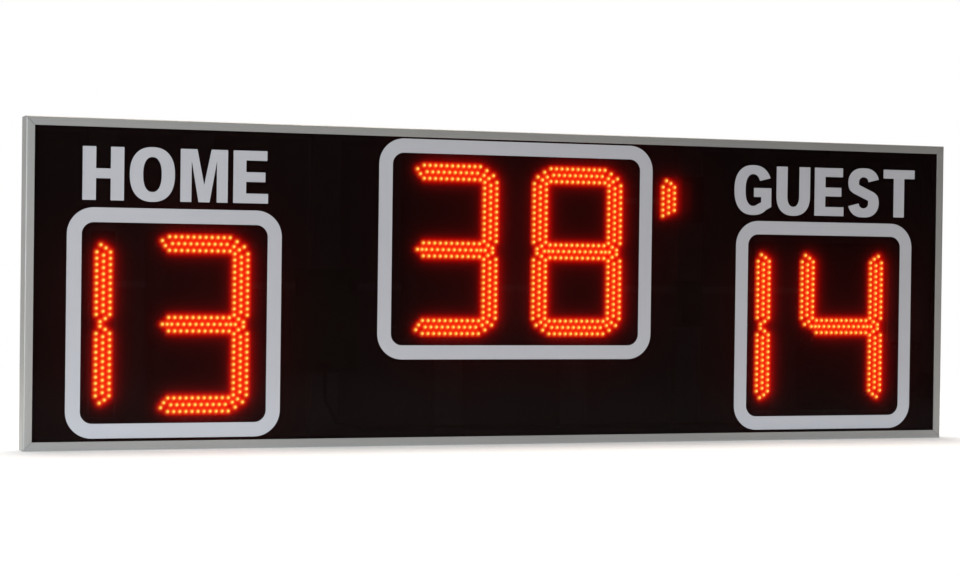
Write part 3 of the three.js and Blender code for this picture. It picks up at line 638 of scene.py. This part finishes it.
def lamp_shape():
    """One lamp: its body from the circuit board and its dome, with how bright each ring looks."""
    foot_top = CIRCUIT_FRONT - LAMP_FOOT_THICK
    rings = [
        (LAMP_FOOT, CIRCUIT_FRONT, 0.0),
        (LAMP_FOOT, foot_top, 0.0),
        (LAMP_RADIUS, foot_top, 0.0),
    ]
    for across, drop, level in LAMP_DOME:
        rings.append((LAMP_RADIUS * across, LAMP_TIP + LAMP_RADIUS * drop, level))
    work = bmesh.new()
    rows = turned(work, [(radius, y) for radius, y, _ in rings], LAMP_SIDES)
    tip = work.verts.new((0, LAMP_TIP, 0))
    for i in range(LAMP_SIDES):
        work.faces.new((rows[-1][i], rows[-1][(i + 1) % LAMP_SIDES], tip))
    work.faces.new(rows[0][::-1])
    bmesh.ops.recalc_face_normals(work, faces=work.faces)
    mesh = mesh_of(work, "lamp_shape")
    levels = [level for _, _, level in rings for _ in range(LAMP_SIDES)] + [1.0]
    mesh.attributes.new("core", "FLOAT", "POINT").data.foreach_set("value", levels)
    return shaded(mesh, angle=40)


def make_set_out():
    """Sets one shape out on given points, each turned about an axis by a seeded random angle."""
    tree, given, out = node_group(
        "set out", "GeometryNodeTree",
        [
            ("Points", "Geometry", None),
            ("Shape", "Object", None),
            ("Size", "Float", 1.0),
            ("Axis", "Vector", (0, 1, 0)),
            ("Spin", "Float", 0.0),
            ("Seed", "Int", 7),
            ("Finish", "Material", None),
        ],
        [("Pieces", "Geometry")],
    )
    source = {"Object": given["Shape"]}
    shape = add(tree, "GeometryNodeObjectInfo", source, transform_space="ORIGINAL")
    draw = {2: 0.0, 3: given["Spin"], "Seed": given["Seed"]}
    chance = add(tree, "FunctionNodeRandomValue", draw, data_type="FLOAT")
    turn = scaled(tree, given["Axis"], chance.outputs[1])
    set_up = {"Points": given["Points"], "Instance": shape.outputs["Geometry"]}
    set_up |= {"Rotation": turn, "Scale": given["Size"]}
    instances = add(tree, "GeometryNodeInstanceOnPoints", set_up)
    real = add(tree, "GeometryNodeRealizeInstances", {"Geometry": instances.outputs[0]})
    dress = {"Geometry": real.outputs[0], "Material": given["Finish"]}
    tree.links.new(add(tree, "GeometryNodeSetMaterial", dress).outputs[0], out["Pieces"])
    return tree


set_out = make_set_out()


def set_out_mesh(name, places, shape, finish, y=0.0, attributes=None, **inputs):
    """The plain mesh of a shape set out by the tree above, at places that are each an x and a z."""
    cloud = bpy.data.meshes.new(name + "_points")
    cloud.from_pydata([(x, y, z) for x, z in places], [], [])
    for key, values in (attributes or {}).items():
        cloud.attributes.new(key, "FLOAT", "POINT").data.foreach_set("value", values)
    carrier = linked(name + "_carrier", cloud)
    master = linked(name + "_master", shape)
    modifier = carrier.modifiers.new("set out", "NODES")
    modifier.node_group = set_out
    sockets = {item.name: item.identifier for item in set_out.interface.items_tree}
    for key, value in {"Shape": master, "Finish": finish, **inputs}.items():
        modifier[sockets[key]] = value
    graph = bpy.context.evaluated_depsgraph_get()
    mesh = bpy.data.meshes.new_from_object(
        carrier.evaluated_get(graph), preserve_all_data_layers=True, depsgraph=graph
    )
    bpy.data.objects.remove(carrier)
    bpy.data.objects.remove(master)
    return mesh


def assembled(name, node, parts, body="board"):
    """A finished piece for a CAD node, joined from meshes that each have their own finish."""
    joined = [linked(name, coated(mesh, material)) for mesh, material in parts]
    with bpy.context.temp_override(active_object=joined[0], selected_editable_objects=joined):
        bpy.ops.object.join()
    stands_for(joined[0], node, body)


def inset_corners(low, high, inset):
    """The corners of a box seen from the front, drawn in by the inset, each as an x and a z."""
    xs, zs = (low.x + inset, high.x - inset), (low.z + inset, high.z - inset)
    return [(x, z) for x in xs for z in zs]


def box_mesh(name, low, high, edge):
    """A block with eased edges."""
    work = bmesh.new()
    bmesh.ops.create_cube(work, size=1.0)
    bmesh.ops.scale(work, vec=Vector(high) - Vector(low), verts=work.verts)
    bmesh.ops.translate(work, vec=(Vector(high) + Vector(low)) / 2, verts=work.verts)
    bmesh.ops.bevel(
        work, geom=work.edges[:], offset=edge, segments=EDGE_STEPS, profile=0.5, affect="EDGES"
    )
    return shaded(mesh_of(work, name))


def glowing_slab(name, xs, zs, front_y, thick, lit, tints, most):
    """A sheet, closely divided in front, with the lamps' painted glow at each place as a colour."""
    grid_x, grid_z = np.meshgrid(xs, zs)
    colour = np.zeros((*grid_x.shape, 3))
    for x, z in lit:
        away = (grid_x - x) ** 2 + (grid_z - z) ** 2
        for reach, tint in tints:
            colour += np.exp(-away / reach**2)[..., None] * tint
    front = np.stack([grid_x, np.full(grid_x.shape, front_y), grid_z], -1).reshape(-1, 3)
    count, columns, rows = len(front), len(xs) - 1, len(zs) - 1
    step = columns + 1
    faces = [
        (a, a + 1, a + step + 1, a + step)
        for a in (r * step + c for r in range(rows) for c in range(columns))
    ]
    ring = (
        list(range(columns))
        + [r * step + columns for r in range(rows)]
        + [rows * step + c for c in range(columns, 0, -1)]
        + [r * step for r in range(rows, 0, -1)]
    )
    used = {a: count + i for i, a in enumerate(ring)}
    faces += [(b, a, used[a], used[b]) for a, b in zip(ring, ring[1:] + ring[:1])]
    faces.append([used[a] for a in ring[::-1]])
    mesh = bpy.data.meshes.new(name)
    back = front[ring] + (0, thick, 0)
    mesh.from_pydata(np.concatenate([front, back]).tolist(), [], faces)
    values = np.zeros((count + len(ring), 4))
    values[:, 3] = 1.0
    values[:count, :3] = np.minimum(colour.reshape(-1, 3), most)
    mesh.attributes.new("glow", "FLOAT_COLOR", "POINT").data.foreach_set("color", values.ravel())
    return mesh


def ramp(tree, factor, stops):
    """Colours one after another, each reached at its own value of the factor."""
    node = add(tree, "ShaderNodeValToRGB", {"Fac": factor})
    colours = node.color_ramp.elements
    colours[0].position, colours[0].color = stops[0][0], (*stops[0][1], 1)
    colours[1].position, colours[1].color = stops[-1][0], (*stops[-1][1], 1)
    for position, colour in stops[1:-1]:
        colours.new(position).color = (*colour, 1)
    return node.outputs["Color"]


def glowing(material, strength, light=None):
    """Makes a material glow: with lamp light painted from what its mesh holds, or with the light
    given.
    """
    tree, shader = opened(material)
    tree.links.new(light or stored(tree, "glow", "Color"), shader.inputs["Emission Color"])
    shader.inputs["Emission Strength"].default_value = strength
    material.cycles.emission_sampling = "NONE"


def make_lamp_plastic():
    """Clear red plastic, lit from within where the lamp is on: a yellow heart in a red body."""
    material = finish_of(
        "lamp plastic", (0.16, 0.012, 0.01), rough=0.25, grain_scale=300, bump=0.0, drift=0.1,
        dust=0.0,
    )
    tree = material.node_tree
    colour = ramp(tree, stored(tree, "core"), LAMP_COLOURS)
    glowing(material, LIGHT, scaled(tree, colour, stored(tree, "lit")))
    return material


lamp_plastic = make_lamp_plastic()
sheet_and_painted_glow = finish_of(
    "black sheet", (0.008, 0.008, 0.008), rough=0.8, grain_scale=900, bump=0.00005, dust=0.0,
    specular=0.2,
)
# Painted glow: the lamps' light round each lit lamp shines from the black sheet itself.
glowing(sheet_and_painted_glow, LIGHT)
black_circuit = finish_of(
    "black solder resist", (0.01, 0.011, 0.01), rough=0.3, grain_scale=500, bump=0.00002,
    dust=0.05,
)
post_plastic = finish_of(
    "natural nylon", (0.5, 0.48, 0.42), rough=0.45, grain_scale=300, bump=0.00002
)

BOARDS = [
    ("home_tens", ONE_DIGIT, "fe"),
    ("home_units", FULL_DIGIT, "abgcd"),
    ("time_tens", FULL_DIGIT, "abgcd"),
    ("time_units", FULL_DIGIT, "abcdefg"),
    ("guest_tens", ONE_DIGIT, "fe"),
    ("guest_units", FULL_DIGIT, "fgbc"),
    ("minute_mark", MINUTE_MARK, "m"),
]
all_lit = []
for place, bars, shown in BOARDS:
    node = "lamp_board_" + place
    low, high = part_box(node)
    x, z = (low.x + high.x) / 2, (low.z + high.z) / 2
    if place == "minute_mark":
        x, z = low.x + MARK_LEFT_TO_MIDDLE, high.z - MARK_TOP_TO_MIDDLE
    spots = [(x + across, z + up) for lamps in bars.values() for across, up in lamps]
    on = [float(letter in shown) for letter, lamps in bars.items() for _ in lamps]
    board_lit = [spot for spot, level in zip(spots, on) if level]
    all_lit += board_lit
    lamps = set_out_mesh(
        place + "_lamps", spots, lamp_shape(), lamp_plastic, attributes={"lit": on}, Spin=math.tau
    )
    circuit_low, circuit_high = (low.x, CIRCUIT_FRONT, low.z), (high.x, high.y, high.z)
    circuit = box_mesh(place + "_circuit", circuit_low, circuit_high, CIRCUIT_EDGE)
    x0, x1 = low.x + SHEET_MARGIN, high.x - SHEET_MARGIN
    z0, z1 = low.z + SHEET_MARGIN, high.z - SHEET_MARGIN
    xs = np.linspace(x0, x1, round((x1 - x0) / GLOW_STEP) + 1)
    zs = np.linspace(z0, z1, round((z1 - z0) / GLOW_STEP) + 1)
    sheet = glowing_slab(
        place + "_sheet", xs, zs, SHEET_FRONT, SHEET_THICK, board_lit, GLOW_SPREAD, GLOW_MOST
    )
    parts = [(lamps, lamp_plastic), (circuit, black_circuit), (sheet, sheet_and_painted_glow)]
    for px, pz in inset_corners(low, high, POST_INSET):
        post_low = (px - POST_HALF, SHEET_FRONT + SHEET_THICK, pz - POST_HALF)
        post_high = (px + POST_HALF, CIRCUIT_FRONT, pz + POST_HALF)
        post = box_mesh(place + "_post", post_low, post_high, POST_EDGE)
        parts.append((post, post_plastic))
    assembled("digit_board_" + place, node, parts)


# Front panel: 3 mm smoked acrylic, glossy, so dark that unlit lamps nearly vanish behind it. The
# red haze in which the lamps' light spreads through it is painted on the panel as a glow. A strip
# of closed-cell foam seats it against the lips of the rails.
PAINTED_HAZE_GRID = 0.0035
CLEAR_STEP = 0.02
# Painted haze: how far the glow painted on the panel reaches round each lit lamp, and its red.
PAINTED_HAZE_REACHES = [
    (0.008, (0.115, 0.0002, 0.0)),
    (0.014, (0.036, 0.0001, 0.0)),
    (0.025, (0.0066, 0.0, 0.0)),
    (0.090, (0.00026, 0.0, 0.0)),
]
PAINTED_HAZE_CAP = (0.55, 0.002, 0.0)
SEAL_EDGE = 0.0002


def spaced(low, high, displays):
    """Grid lines from low to high: close together over the displays, far apart elsewhere."""
    lines = [low]
    while lines[-1] < high:
        near = any(start - CLEAR_STEP < lines[-1] < end for start, end in displays)
        lines.append(min(high, lines[-1] + (PAINTED_HAZE_GRID if near else CLEAR_STEP)))
    return lines


smoked = finish_of(
    "smoked acrylic", (0.0055, 0.0024, 0.0022), rough=0.06, grain_scale=6, bump=0.0,
    rough_spread=0.02, drift=0.1, dust=0.05, specular=0.03,
)
# Painted glow: the lamps' red haze shines from the panel itself.
glowing(smoked, 1.0)
_, smoked_shader = opened(smoked)
smoked_shader.inputs["Alpha"].default_value = PANEL_FACE_SHARE
smoked_shader.inputs["IOR"].default_value = 1.49
low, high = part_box("front_panel")
displays = [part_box(side + "_outline") for side in ("home", "time", "guest")]
panel = glowing_slab(
    "smoked_panel",
    spaced(low.x, high.x, [(a.x, b.x) for a, b in displays]),
    spaced(low.z, high.z, [(a.z, b.z) for a, b in displays]),
    low.y, high.y - low.y, all_lit, PAINTED_HAZE_REACHES, PAINTED_HAZE_CAP,
)
fitted("smoked_panel", "front_panel", panel, smoked)
foam = finish_of(
    "closed-cell foam", (0.012, 0.012, 0.013), rough=0.9, grain_scale=1400, bump=0.0002,
    drift=0.15, specular=0.2,
)
fitted_node("foam_seal", "front_seal", SEAL_EDGE, foam)


# Controller and radio receiver: green circuit boards, coated with solder resist over copper tracks,
# with black chips and plugs soldered on the front.
BOARD_EDGE = 0.0002
TRACK_SCALE = 110.0
TRACK_SHARE = 0.06
RESIST = (0.010, 0.085, 0.045, 1)
RESIST_PALE = (0.013, 0.105, 0.055, 1)
COPPER_UNDER_RESIST = (0.03, 0.19, 0.08, 1)
CHIP_BLACK = (0.014, 0.014, 0.015, 1)
CHIPS_FROM = 0.00005
CHIPS_FULL = 0.0002


def make_green_circuit():
    """Green solder resist over tracks, and black where something stands on the board."""
    material = finish_of(
        "green circuit", (0.012, 0.10, 0.05), rough=0.35, grain_scale=500, bump=0.00002,
        drift=0.08,
    )
    tree, shader = opened(material)
    place = here(tree)
    laid = add(tree, "ShaderNodeMapping", {"Vector": place, "Rotation": (math.pi / 2, 0, 0)})
    pattern = {"Scale": TRACK_SCALE, "Mortar Size": TRACK_SHARE}
    colours = {"Color1": RESIST, "Color2": RESIST_PALE, "Mortar": COPPER_UNDER_RESIST}
    tracks = add(tree, "ShaderNodeTexBrick", {"Vector": laid.outputs[0], **pattern, **colours})
    height = add(tree, "ShaderNodeSeparateXYZ", {0: place}).outputs["Y"]
    standing = spread(tree, height, CIRCUIT_FRONT - CHIPS_FROM, CIRCUIT_FRONT - CHIPS_FULL)
    colour = mixed(tree, standing, tracks.outputs["Color"], CHIP_BLACK)
    tree.links.new(colour, shader.inputs["Base Color"])
    return material


green_circuit = make_green_circuit()
for name, node in (("controller", "controller_board"), ("receiver", "radio_receiver")):
    fitted_node(name, node, BOARD_EDGE, green_circuit)


# Power supply: a slim folded steel case, grey powder coat, with a row of pressed slots, and a black
# terminal block with a clamping screw in each bay on its lower step.
CASE_EDGE = 0.0005
BLOCK_EDGE = 0.0002
TERMINAL_BAYS = 5
BLOCK_ENDS = 0.0015
BAY_DEPTH = 0.005
CLAMP_STAND = 0.0012
CLAMP_DROP = 0.001
SCREW_SIDES = 24
SCREW_LAND = 0.0001
CONE_FOOT = 0.55
HEAD_DOME = [(1.0, 0.0), (0.85, 0.7), (0.6, 1.0)]
CROSS_ARM = 0.24
CROSS_DEPTH = 0.6
CROSS_TAPER = 0.7

powder_coat = finish_of(
    "grey powder coat", (0.17, 0.175, 0.18), rough=0.55, grain_scale=1300, bump=0.00009,
    drift=0.05, dust=0.2, wear=0.25, worn=(0.3, 0.3, 0.3),
)
black_plastic = finish_of(
    "black moulded plastic", (0.014, 0.014, 0.015), rough=0.42, grain_scale=1600, bump=0.00005,
    rough_spread=0.12, drift=0.1, dust=0.08, wear=0.3, worn=(0.05, 0.05, 0.05),
)
bright_zinc = finish_of(
    "bright zinc", (0.62, 0.64, 0.66), rough=0.3, grain_scale=600, bump=0.00002, metal=1.0,
    drift=0.12,
)
fitted_node("supply_case", "power_supply", CASE_EDGE, powder_coat)


def screw_head(radius, rise, depth, cross, facing=1):
    """A screw head that faces +Y or -Y: a low dome over a countersunk cone, with a cross recess."""
    work = bmesh.new()
    profile = [(radius * CONE_FOOT, -depth), (radius, -SCREW_LAND)]
    profile += [(radius * across, rise * up) for across, up in HEAD_DOME]
    rows = turned(work, profile, SCREW_SIDES)
    arm = cross * CROSS_ARM
    arm_end = ((arm, arm), (arm, cross), (-arm, cross))
    edge = []
    for quarter in range(4):
        turn = quarter * math.pi / 2
        c, s = math.cos(turn), math.sin(turn)
        edge += [(x * c - z * s, x * s + z * c) for x, z in arm_end]
    floor_y = rise - cross * CROSS_DEPTH
    rim = [work.verts.new((x, rise, z)) for x, z in edge]
    low_rim = [work.verts.new((x * CROSS_TAPER, floor_y, z * CROSS_TAPER)) for x, z in edge]
    wall(work, rim, low_rim)
    work.faces.new(low_rim)
    work.faces.new(rows[0])
    pairs = [pair for loop in (rows[-1], rim) for pair in zip(loop, loop[1:] + loop[:1])]
    bmesh.ops.bridge_loops(work, edges=[work.edges.get(pair) for pair in pairs])
    bmesh.ops.recalc_face_normals(work, faces=work.faces)
    if facing < 0:
        bmesh.ops.rotate(work, verts=work.verts, matrix=Matrix.Rotation(math.pi, 3, "X"))
    return shaded(mesh_of(work, "screw_head"), angle=35)


low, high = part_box("terminal_block")
centre = (low + high) / 2
bay_pitch = (high.x - low.x - BLOCK_ENDS) / TERMINAL_BAYS
clamp_xs = [centre.x + (i - (TERMINAL_BAYS - 1) / 2) * bay_pitch for i in range(TERMINAL_BAYS)]
clamps = set_out_mesh(
    "terminal_clamps",
    [(x, centre.z - CLAMP_DROP) for x in clamp_xs],
    screw_head(radius=0.0034, rise=0.0008, depth=0.001, cross=0.0019, facing=-1),
    bright_zinc,
    y=low.y + BAY_DEPTH - CLAMP_STAND,
    Spin=math.tau,
    Seed=3,
)
block = eased("terminal_block", BLOCK_EDGE)
terminals = [(block, black_plastic), (clamps, bright_zinc)]
assembled("terminals", "terminal_block", terminals)


# Leads inside: flat grey ribbons of ten cores from board to board, and round black leads from the
# inlet to the power supply and from there to the controller.
RIBBON_CORES = 10
CORE_SIDES = 10
WEB_HALF = 0.0002
WEB_EDGE = 0.0001

cable_sheath = finish_of(
    "cable sheath", (0.018, 0.018, 0.019), rough=0.5, grain_scale=700, bump=0.00004, drift=0.1
)
ribbon_grey = finish_of(
    "grey ribbon", (0.36, 0.37, 0.38), rough=0.5, grain_scale=500, bump=0.00003,
    grain=(0.05, 1, 1), drift=0.05,
)


def rod(radius, length, sides, about):
    """A round rod at the origin, laid down by a quarter turn about an axis."""
    work = bmesh.new()
    bmesh.ops.create_cone(
        work, cap_ends=True, segments=sides, radius1=radius, radius2=radius, depth=length
    )
    bmesh.ops.rotate(work, verts=work.verts, matrix=Matrix.Rotation(math.pi / 2, 3, about))
    return work


for run in (
    "home_digits", "home_controller", "controller_time", "time_digits", "time_mark",
    "time_receiver", "receiver_guest", "guest_digits",
):
    node = "ribbon_" + run
    low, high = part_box(node)
    pitch = (high.z - low.z) / RIBBON_CORES
    centre = (low + high) / 2
    core = rod((high.y - low.y) / 2, high.x - low.x, CORE_SIDES, "Y")
    cores = set_out_mesh(
        run + "_cores",
        [(centre.x, low.z + (i + 0.5) * pitch) for i in range(RIBBON_CORES)],
        shaded(mesh_of(core, "ribbon_core"), angle=50),
        ribbon_grey,
        y=centre.y,
    )
    web_low = (low.x, centre.y - WEB_HALF, low.z + pitch / 2)
    web_high = (high.x, centre.y + WEB_HALF, high.z - pitch / 2)
    web = box_mesh(run + "_web", web_low, web_high, WEB_EDGE)
    parts = [(cores, ribbon_grey), (web, ribbon_grey)]
    assembled("flat_lead_" + run, node, parts)

for name, node in (("lead_to_supply", "mains_lead"), ("lead_to_controller", "power_lead")):
    round_lead = mesh_of(merged(cad_nodes[node].data), name)
    fitted(name, node, shaded(round_lead, angle=65), cable_sheath)


# Back: three covers of powder-coated steel sheet, fixed to the rails' rear flanges by countersunk
# screws, and two galvanised hanging straps between them, each with a keyhole near both ends.
COVER_EDGE = 0.0003
SCREW_INSET = 0.012
SCREW_PITCH = 0.14

for side in ("left", "right"):
    fitted_node("strap_" + side, "hanging_strap_" + side, COVER_EDGE, zinc_sheet)

screw_places = []
for side in ("left", "centre", "right"):
    node = "rear_cover_" + side
    fitted_node("cover_" + side, node, COVER_EDGE, powder_coat)
    low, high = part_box(node)
    x0, x1 = low.x + SCREW_INSET, high.x - SCREW_INSET
    z0, z1 = low.z + SCREW_INSET, high.z - SCREW_INSET
    along = max(1, round((x1 - x0) / SCREW_PITCH))
    upward = max(1, round((z1 - z0) / SCREW_PITCH))
    xs = [x0 + (x1 - x0) * i / along for i in range(along + 1)]
    zs = [z0 + (z1 - z0) * i / upward for i in range(1, upward)]
    outer = {"left": [x0], "centre": [], "right": [x1]}[side]
    screw_places += [(x, z) for x in xs for z in (z0, z1)] + [(x, z) for x in outer for z in zs]
for side in ("left", "right"):
    screw_places += inset_corners(*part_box("hanging_strap_" + side), SCREW_INSET)
screws = set_out_mesh(
    "rear_screws",
    screw_places,
    screw_head(radius=0.0034, rise=0.00025, depth=0.0015, cross=0.0019),
    bright_zinc,
    Spin=math.tau,
    Seed=11,
)
fitted("rear_screws", None, screws, bright_zinc)


# Power inlet: one black moulded module in the right rail, with a rocker switch, a drawer for the
# fuse and a three-pin mains socket. The pins are plated brass.
HOUSING_EDGE = 0.00025
PIN_EDGE = 0.00035
ROCKER_EDGE = 0.0003
ROCKER_AXLE_X = 0.8643
ROCKER_AXLE_Y = -0.0205
ROCKER_TILT = math.radians(8)
ROCKER_FACE_SLOPE = math.atan2(0.001, 0.0093)
ROCKER_FACE = 0.00272
MARK_TO_AXLE = 0.0050
MARK_THICK = 0.00012
STROKE_WIDE = 0.0007
STROKE_HIGH = 0.0038
RING_RADIUS = 0.0019
RING_HOLE = 0.0013
RING_SIDES = 28

plated = finish_of(
    "plated brass", (0.62, 0.55, 0.36), rough=0.28, grain_scale=700, bump=0.00001, metal=1.0,
    drift=0.1,
)
marking_white = finish_of(
    "marking paint", (0.75, 0.75, 0.73), rough=0.5, grain_scale=900, bump=0.00001
)
fitted_node("inlet_housing", "inlet_body", HOUSING_EDGE, black_plastic)
for pin in ("live", "neutral", "earth"):
    fitted_node("pin_" + pin, "inlet_pin_" + pin, PIN_EDGE, plated)
fitted_node(
    "switch_rocker", "power_rocker", ROCKER_EDGE, black_plastic, "power_rocker"
)
low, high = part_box("power_rocker")
rocker_axle = (ROCKER_AXLE_X, ROCKER_AXLE_Y, (low.z + high.z) / 2)


def rocker_mark(kind):
    """The stroke or ring moulded on one half of the rocker, standing a hair above its face."""
    work = bmesh.new()
    under, over = -MARK_THICK / 2, MARK_THICK / 2
    if kind == "stroke":
        half = -1
        bmesh.ops.create_cube(work, size=1.0)
        bmesh.ops.scale(work, vec=(MARK_THICK, STROKE_WIDE, STROKE_HIGH), verts=work.verts)
    else:
        half = 1
        profile = [(RING_RADIUS, under), (RING_RADIUS, over), (RING_HOLE, over), (RING_HOLE, under)]
        rings = turned(work, profile, RING_SIDES)
        wall(work, rings[-1], rings[0])
        bmesh.ops.rotate(work, verts=work.verts, matrix=Matrix.Rotation(-math.pi / 2, 3, "Z"))
        bmesh.ops.recalc_face_normals(work, faces=work.faces)
    on_rocker = (
        Matrix.Translation(rocker_axle)
        @ Matrix.Rotation(ROCKER_TILT, 4, "Z")
        @ Matrix.Translation((ROCKER_FACE, half * MARK_TO_AXLE, 0))
        @ Matrix.Rotation(-half * ROCKER_FACE_SLOPE, 4, "Z")
    )
    bmesh.ops.transform(work, matrix=on_rocker, verts=work.verts)
    return mesh_of(work, "rocker_" + kind)


for kind in ("stroke", "ring"):
    mark = rocker_mark(kind)
    fitted("rocker_" + kind, None, mark, marking_white, "power_rocker")


# Fuse drawer and fuse: the drawer slides out of the module with the fuse across it, a glass tube
# with a plated cap at each end and a thin wire between them.
DRAWER_EDGE = 0.00025
GLASS_COLOUR = (0.92, 0.95, 0.95, 1)
GLASS_FACE_SHARE = 0.3
GLASS_GRAIN = 200.0
GLASS_ROUGH = (0.04, 0.12)
FUSE_CAP = 0.005
FUSE_SIDES = 24
GLASS_SHARE = 0.88
WIRE_RADIUS = 0.00012
WIRE_SIDES = 8
RIM_SHARE = 0.12
RIM_FROM = math.radians(60)

fitted_node(
    "fuse_tray", "fuse_drawer", DRAWER_EDGE, black_plastic, "fuse_drawer"
)


def make_glass():
    material = new_material("fuse glass")
    tree, shader = opened(material)
    shader.inputs["Base Color"].default_value = GLASS_COLOUR
    shader.inputs["Alpha"].default_value = GLASS_FACE_SHARE
    haze = placed(tree, grain_group, Stretch=(1, 1, 1), Scale=GLASS_GRAIN)["Value"]
    tree.links.new(spread(tree, haze, 0.0, 1.0, *GLASS_ROUGH), shader.inputs["Roughness"])
    return material


def tube(name, radius, y0, y1, centre, sides=FUSE_SIDES):
    """A round piece along Y between two places, with its rims taken off."""
    work = rod(radius, y1 - y0, sides, "X")
    bmesh.ops.translate(work, verts=work.verts, vec=(centre.x, (y0 + y1) / 2, centre.z))
    rims = [e for e in work.edges if e.calc_face_angle() > RIM_FROM]
    bmesh.ops.bevel(
        work, geom=rims, offset=radius * RIM_SHARE, segments=EDGE_STEPS, profile=0.5,
        affect="EDGES",
    )
    return shaded(mesh_of(work, name))


fuse_glass = make_glass()
low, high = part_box("fuse")
centre = (low + high) / 2
cap_radius = (high.z - low.z) / 2
glass_low, glass_high = low.y + FUSE_CAP, high.y - FUSE_CAP
fuse_parts = [
    (tube("cap", cap_radius, low.y, glass_low, centre), bright_zinc),
    (tube("cap", cap_radius, glass_high, high.y, centre), bright_zinc),
    (tube("glass", cap_radius * GLASS_SHARE, glass_low, glass_high, centre), fuse_glass),
    (tube("wire", WIRE_RADIUS, glass_low, glass_high, centre, WIRE_SIDES), bright_zinc),
]
assembled("glass_fuse", "fuse", fuse_parts, "fuse_drawer")


# Floor and light: a white studio floor that keeps a soft shadow, one large cool lamp from the left,
# a top lamp and a back lamp, in a pale room that is dim in front and dimmest to the right.
FLOOR_REACH = 40.0
FLOOR_COLOUR = (0.8, 0.8, 0.8, 1)
FLOOR_LIFT = 0.25
FLOOR_IN_MIRRORS = (0.3, 0.3, 0.3, 1)
FADE_FROM = 1.2
FADE_TO = 3.0
NEAR_FLOOR = 0.35
NEAREST_FLOOR = 0.04
NEAR_LIGHT = 1.1
NEAR_COLOUR = (0.80, 0.92, 1, 1)
BESIDE_TO = 1.3
BESIDE_FROM = 0.8
WHITE = (1, 1, 1, 1)


def shining(tree, colour, strength):
    return add(tree, "ShaderNodeEmission", {"Color": colour, "Strength": strength}).outputs[0]


def both(tree, first, second):
    return add(tree, "ShaderNodeAddShader", {0: first, 1: second}).outputs[0]


def either(tree, factor, first, second):
    return add(tree, "ShaderNodeMixShader", {0: factor, 1: first, 2: second}).outputs[0]


def make_floor():
    """White to the camera and in mirrors, clear from below, with a cool light near the board."""
    material = new_material("white floor")
    tree = material.node_tree
    tree.nodes.clear()
    path = add(tree, "ShaderNodeLightPath").outputs
    seen = maths(tree, "MAXIMUM", path["Is Camera Ray"], path["Is Glossy Ray"])
    shown = maths(tree, "MAXIMUM", seen, path["Is Transmission Ray"])
    place = here(tree)
    spot = add(tree, "ShaderNodeSeparateXYZ", {0: place}).outputs
    before = maths(tree, "ABSOLUTE", spot["Y"])
    near = spread(tree, before, NEAR_FLOOR, NEAREST_FLOOR, high=NEAR_LIGHT, ease="SMOOTHSTEP")
    beside = maths(tree, "ABSOLUTE", spot["X"])
    within = spread(tree, beside, BESIDE_TO, BESIDE_FROM, ease="SMOOTHSTEP")
    matt = add(tree, "ShaderNodeBsdfDiffuse", {"Color": FLOOR_COLOUR}).outputs[0]
    thrown = shining(tree, NEAR_COLOUR, maths(tree, "MULTIPLY", near, within))
    lifted = both(tree, matt, shining(tree, WHITE, FLOOR_LIFT))
    close = either(tree, shown, both(tree, matt, thrown), lifted)
    away = add(tree, "ShaderNodeVectorMath", {0: place}, operation="LENGTH").outputs["Value"]
    faded = spread(tree, away, FADE_FROM, FADE_TO, ease="SMOOTHSTEP")
    backdrop = mixed(tree, path["Is Glossy Ray"], WHITE, FLOOR_IN_MIRRORS)
    distant = shining(tree, backdrop, 1.0)
    whole = either(tree, maths(tree, "MULTIPLY", faded, shown), close, distant)
    under = add(tree, "ShaderNodeNewGeometry").outputs["Backfacing"]
    clear = add(tree, "ShaderNodeBsdfTransparent").outputs[0]
    add(tree, "ShaderNodeOutputMaterial", {0: either(tree, under, whole, clear)})
    material.cycles.emission_sampling = "NONE"
    return material


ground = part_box("frame_bottom")[0].z
corners = [
    (x * FLOOR_REACH, y * FLOOR_REACH, ground) for x, y in ((-1, -1), (1, -1), (1, 1), (-1, 1))
]
floor_mesh = bpy.data.meshes.new("floor")
floor_mesh.from_pydata(corners, [], [(0, 1, 2, 3)])
linked("floor", coated(floor_mesh, make_floor()))


def lamp(name, place, aim, size, power, colour):
    data = bpy.data.lights.new(name, "AREA")
    data.shape = "RECTANGLE"
    data.size, data.size_y = size
    data.energy = power
    data.color = colour
    light = linked(name, data)
    light.location = place
    light.rotation_euler = (Vector(aim) - Vector(place)).to_track_quat("-Z", "Y").to_euler()


lamp(
    "left lamp", place=(-2.7, -2.6, 0.35), aim=(-0.5, 0, -0.15), size=(2.8, 1.9), power=84,
    colour=(0.83, 0.93, 1.0),
)
lamp(
    "top lamp", place=(0.0, 0.35, 2.6), aim=(0, 0.35, 0), size=(2.4, 0.8), power=75,
    colour=(1.0, 0.95, 0.87),
)
lamp(
    "back lamp", place=(0.3, 2.9, 1.4), aim=(0, 0, 0), size=(2.4, 1.4), power=45,
    colour=(1.0, 0.98, 0.95),
)

ROOM_LEFT = (-0.1, (0.47, 0.46, 0.45))
ROOM_RIGHT = (0.36, (0.04, 0.025, 0.015))
ROOM_TURN = (-0.1, 0.25)
ROOM_BEHIND = (0.6, 0.6, 0.6, 1)
world = bpy.data.worlds.new("studio")
scene.world = world
world.use_nodes = True
tree = world.node_tree
direction = add(tree, "ShaderNodeTexCoord").outputs["Generated"]
toward = add(tree, "ShaderNodeSeparateXYZ", {0: direction}).outputs
rightward = spread(tree, toward["X"], ROOM_LEFT[0], ROOM_RIGHT[0])
in_front = ramp(tree, rightward, [(0.0, ROOM_LEFT[1]), (1.0, ROOM_RIGHT[1])])
behind = spread(tree, toward["Y"], *ROOM_TURN, ease="SMOOTHSTEP")
room = mixed(tree, behind, in_front, ROOM_BEHIND)
to_camera = add(tree, "ShaderNodeLightPath").outputs["Is Camera Ray"]
tree.links.new(mixed(tree, to_camera, room, WHITE), tree.nodes["Background"].inputs["Color"])
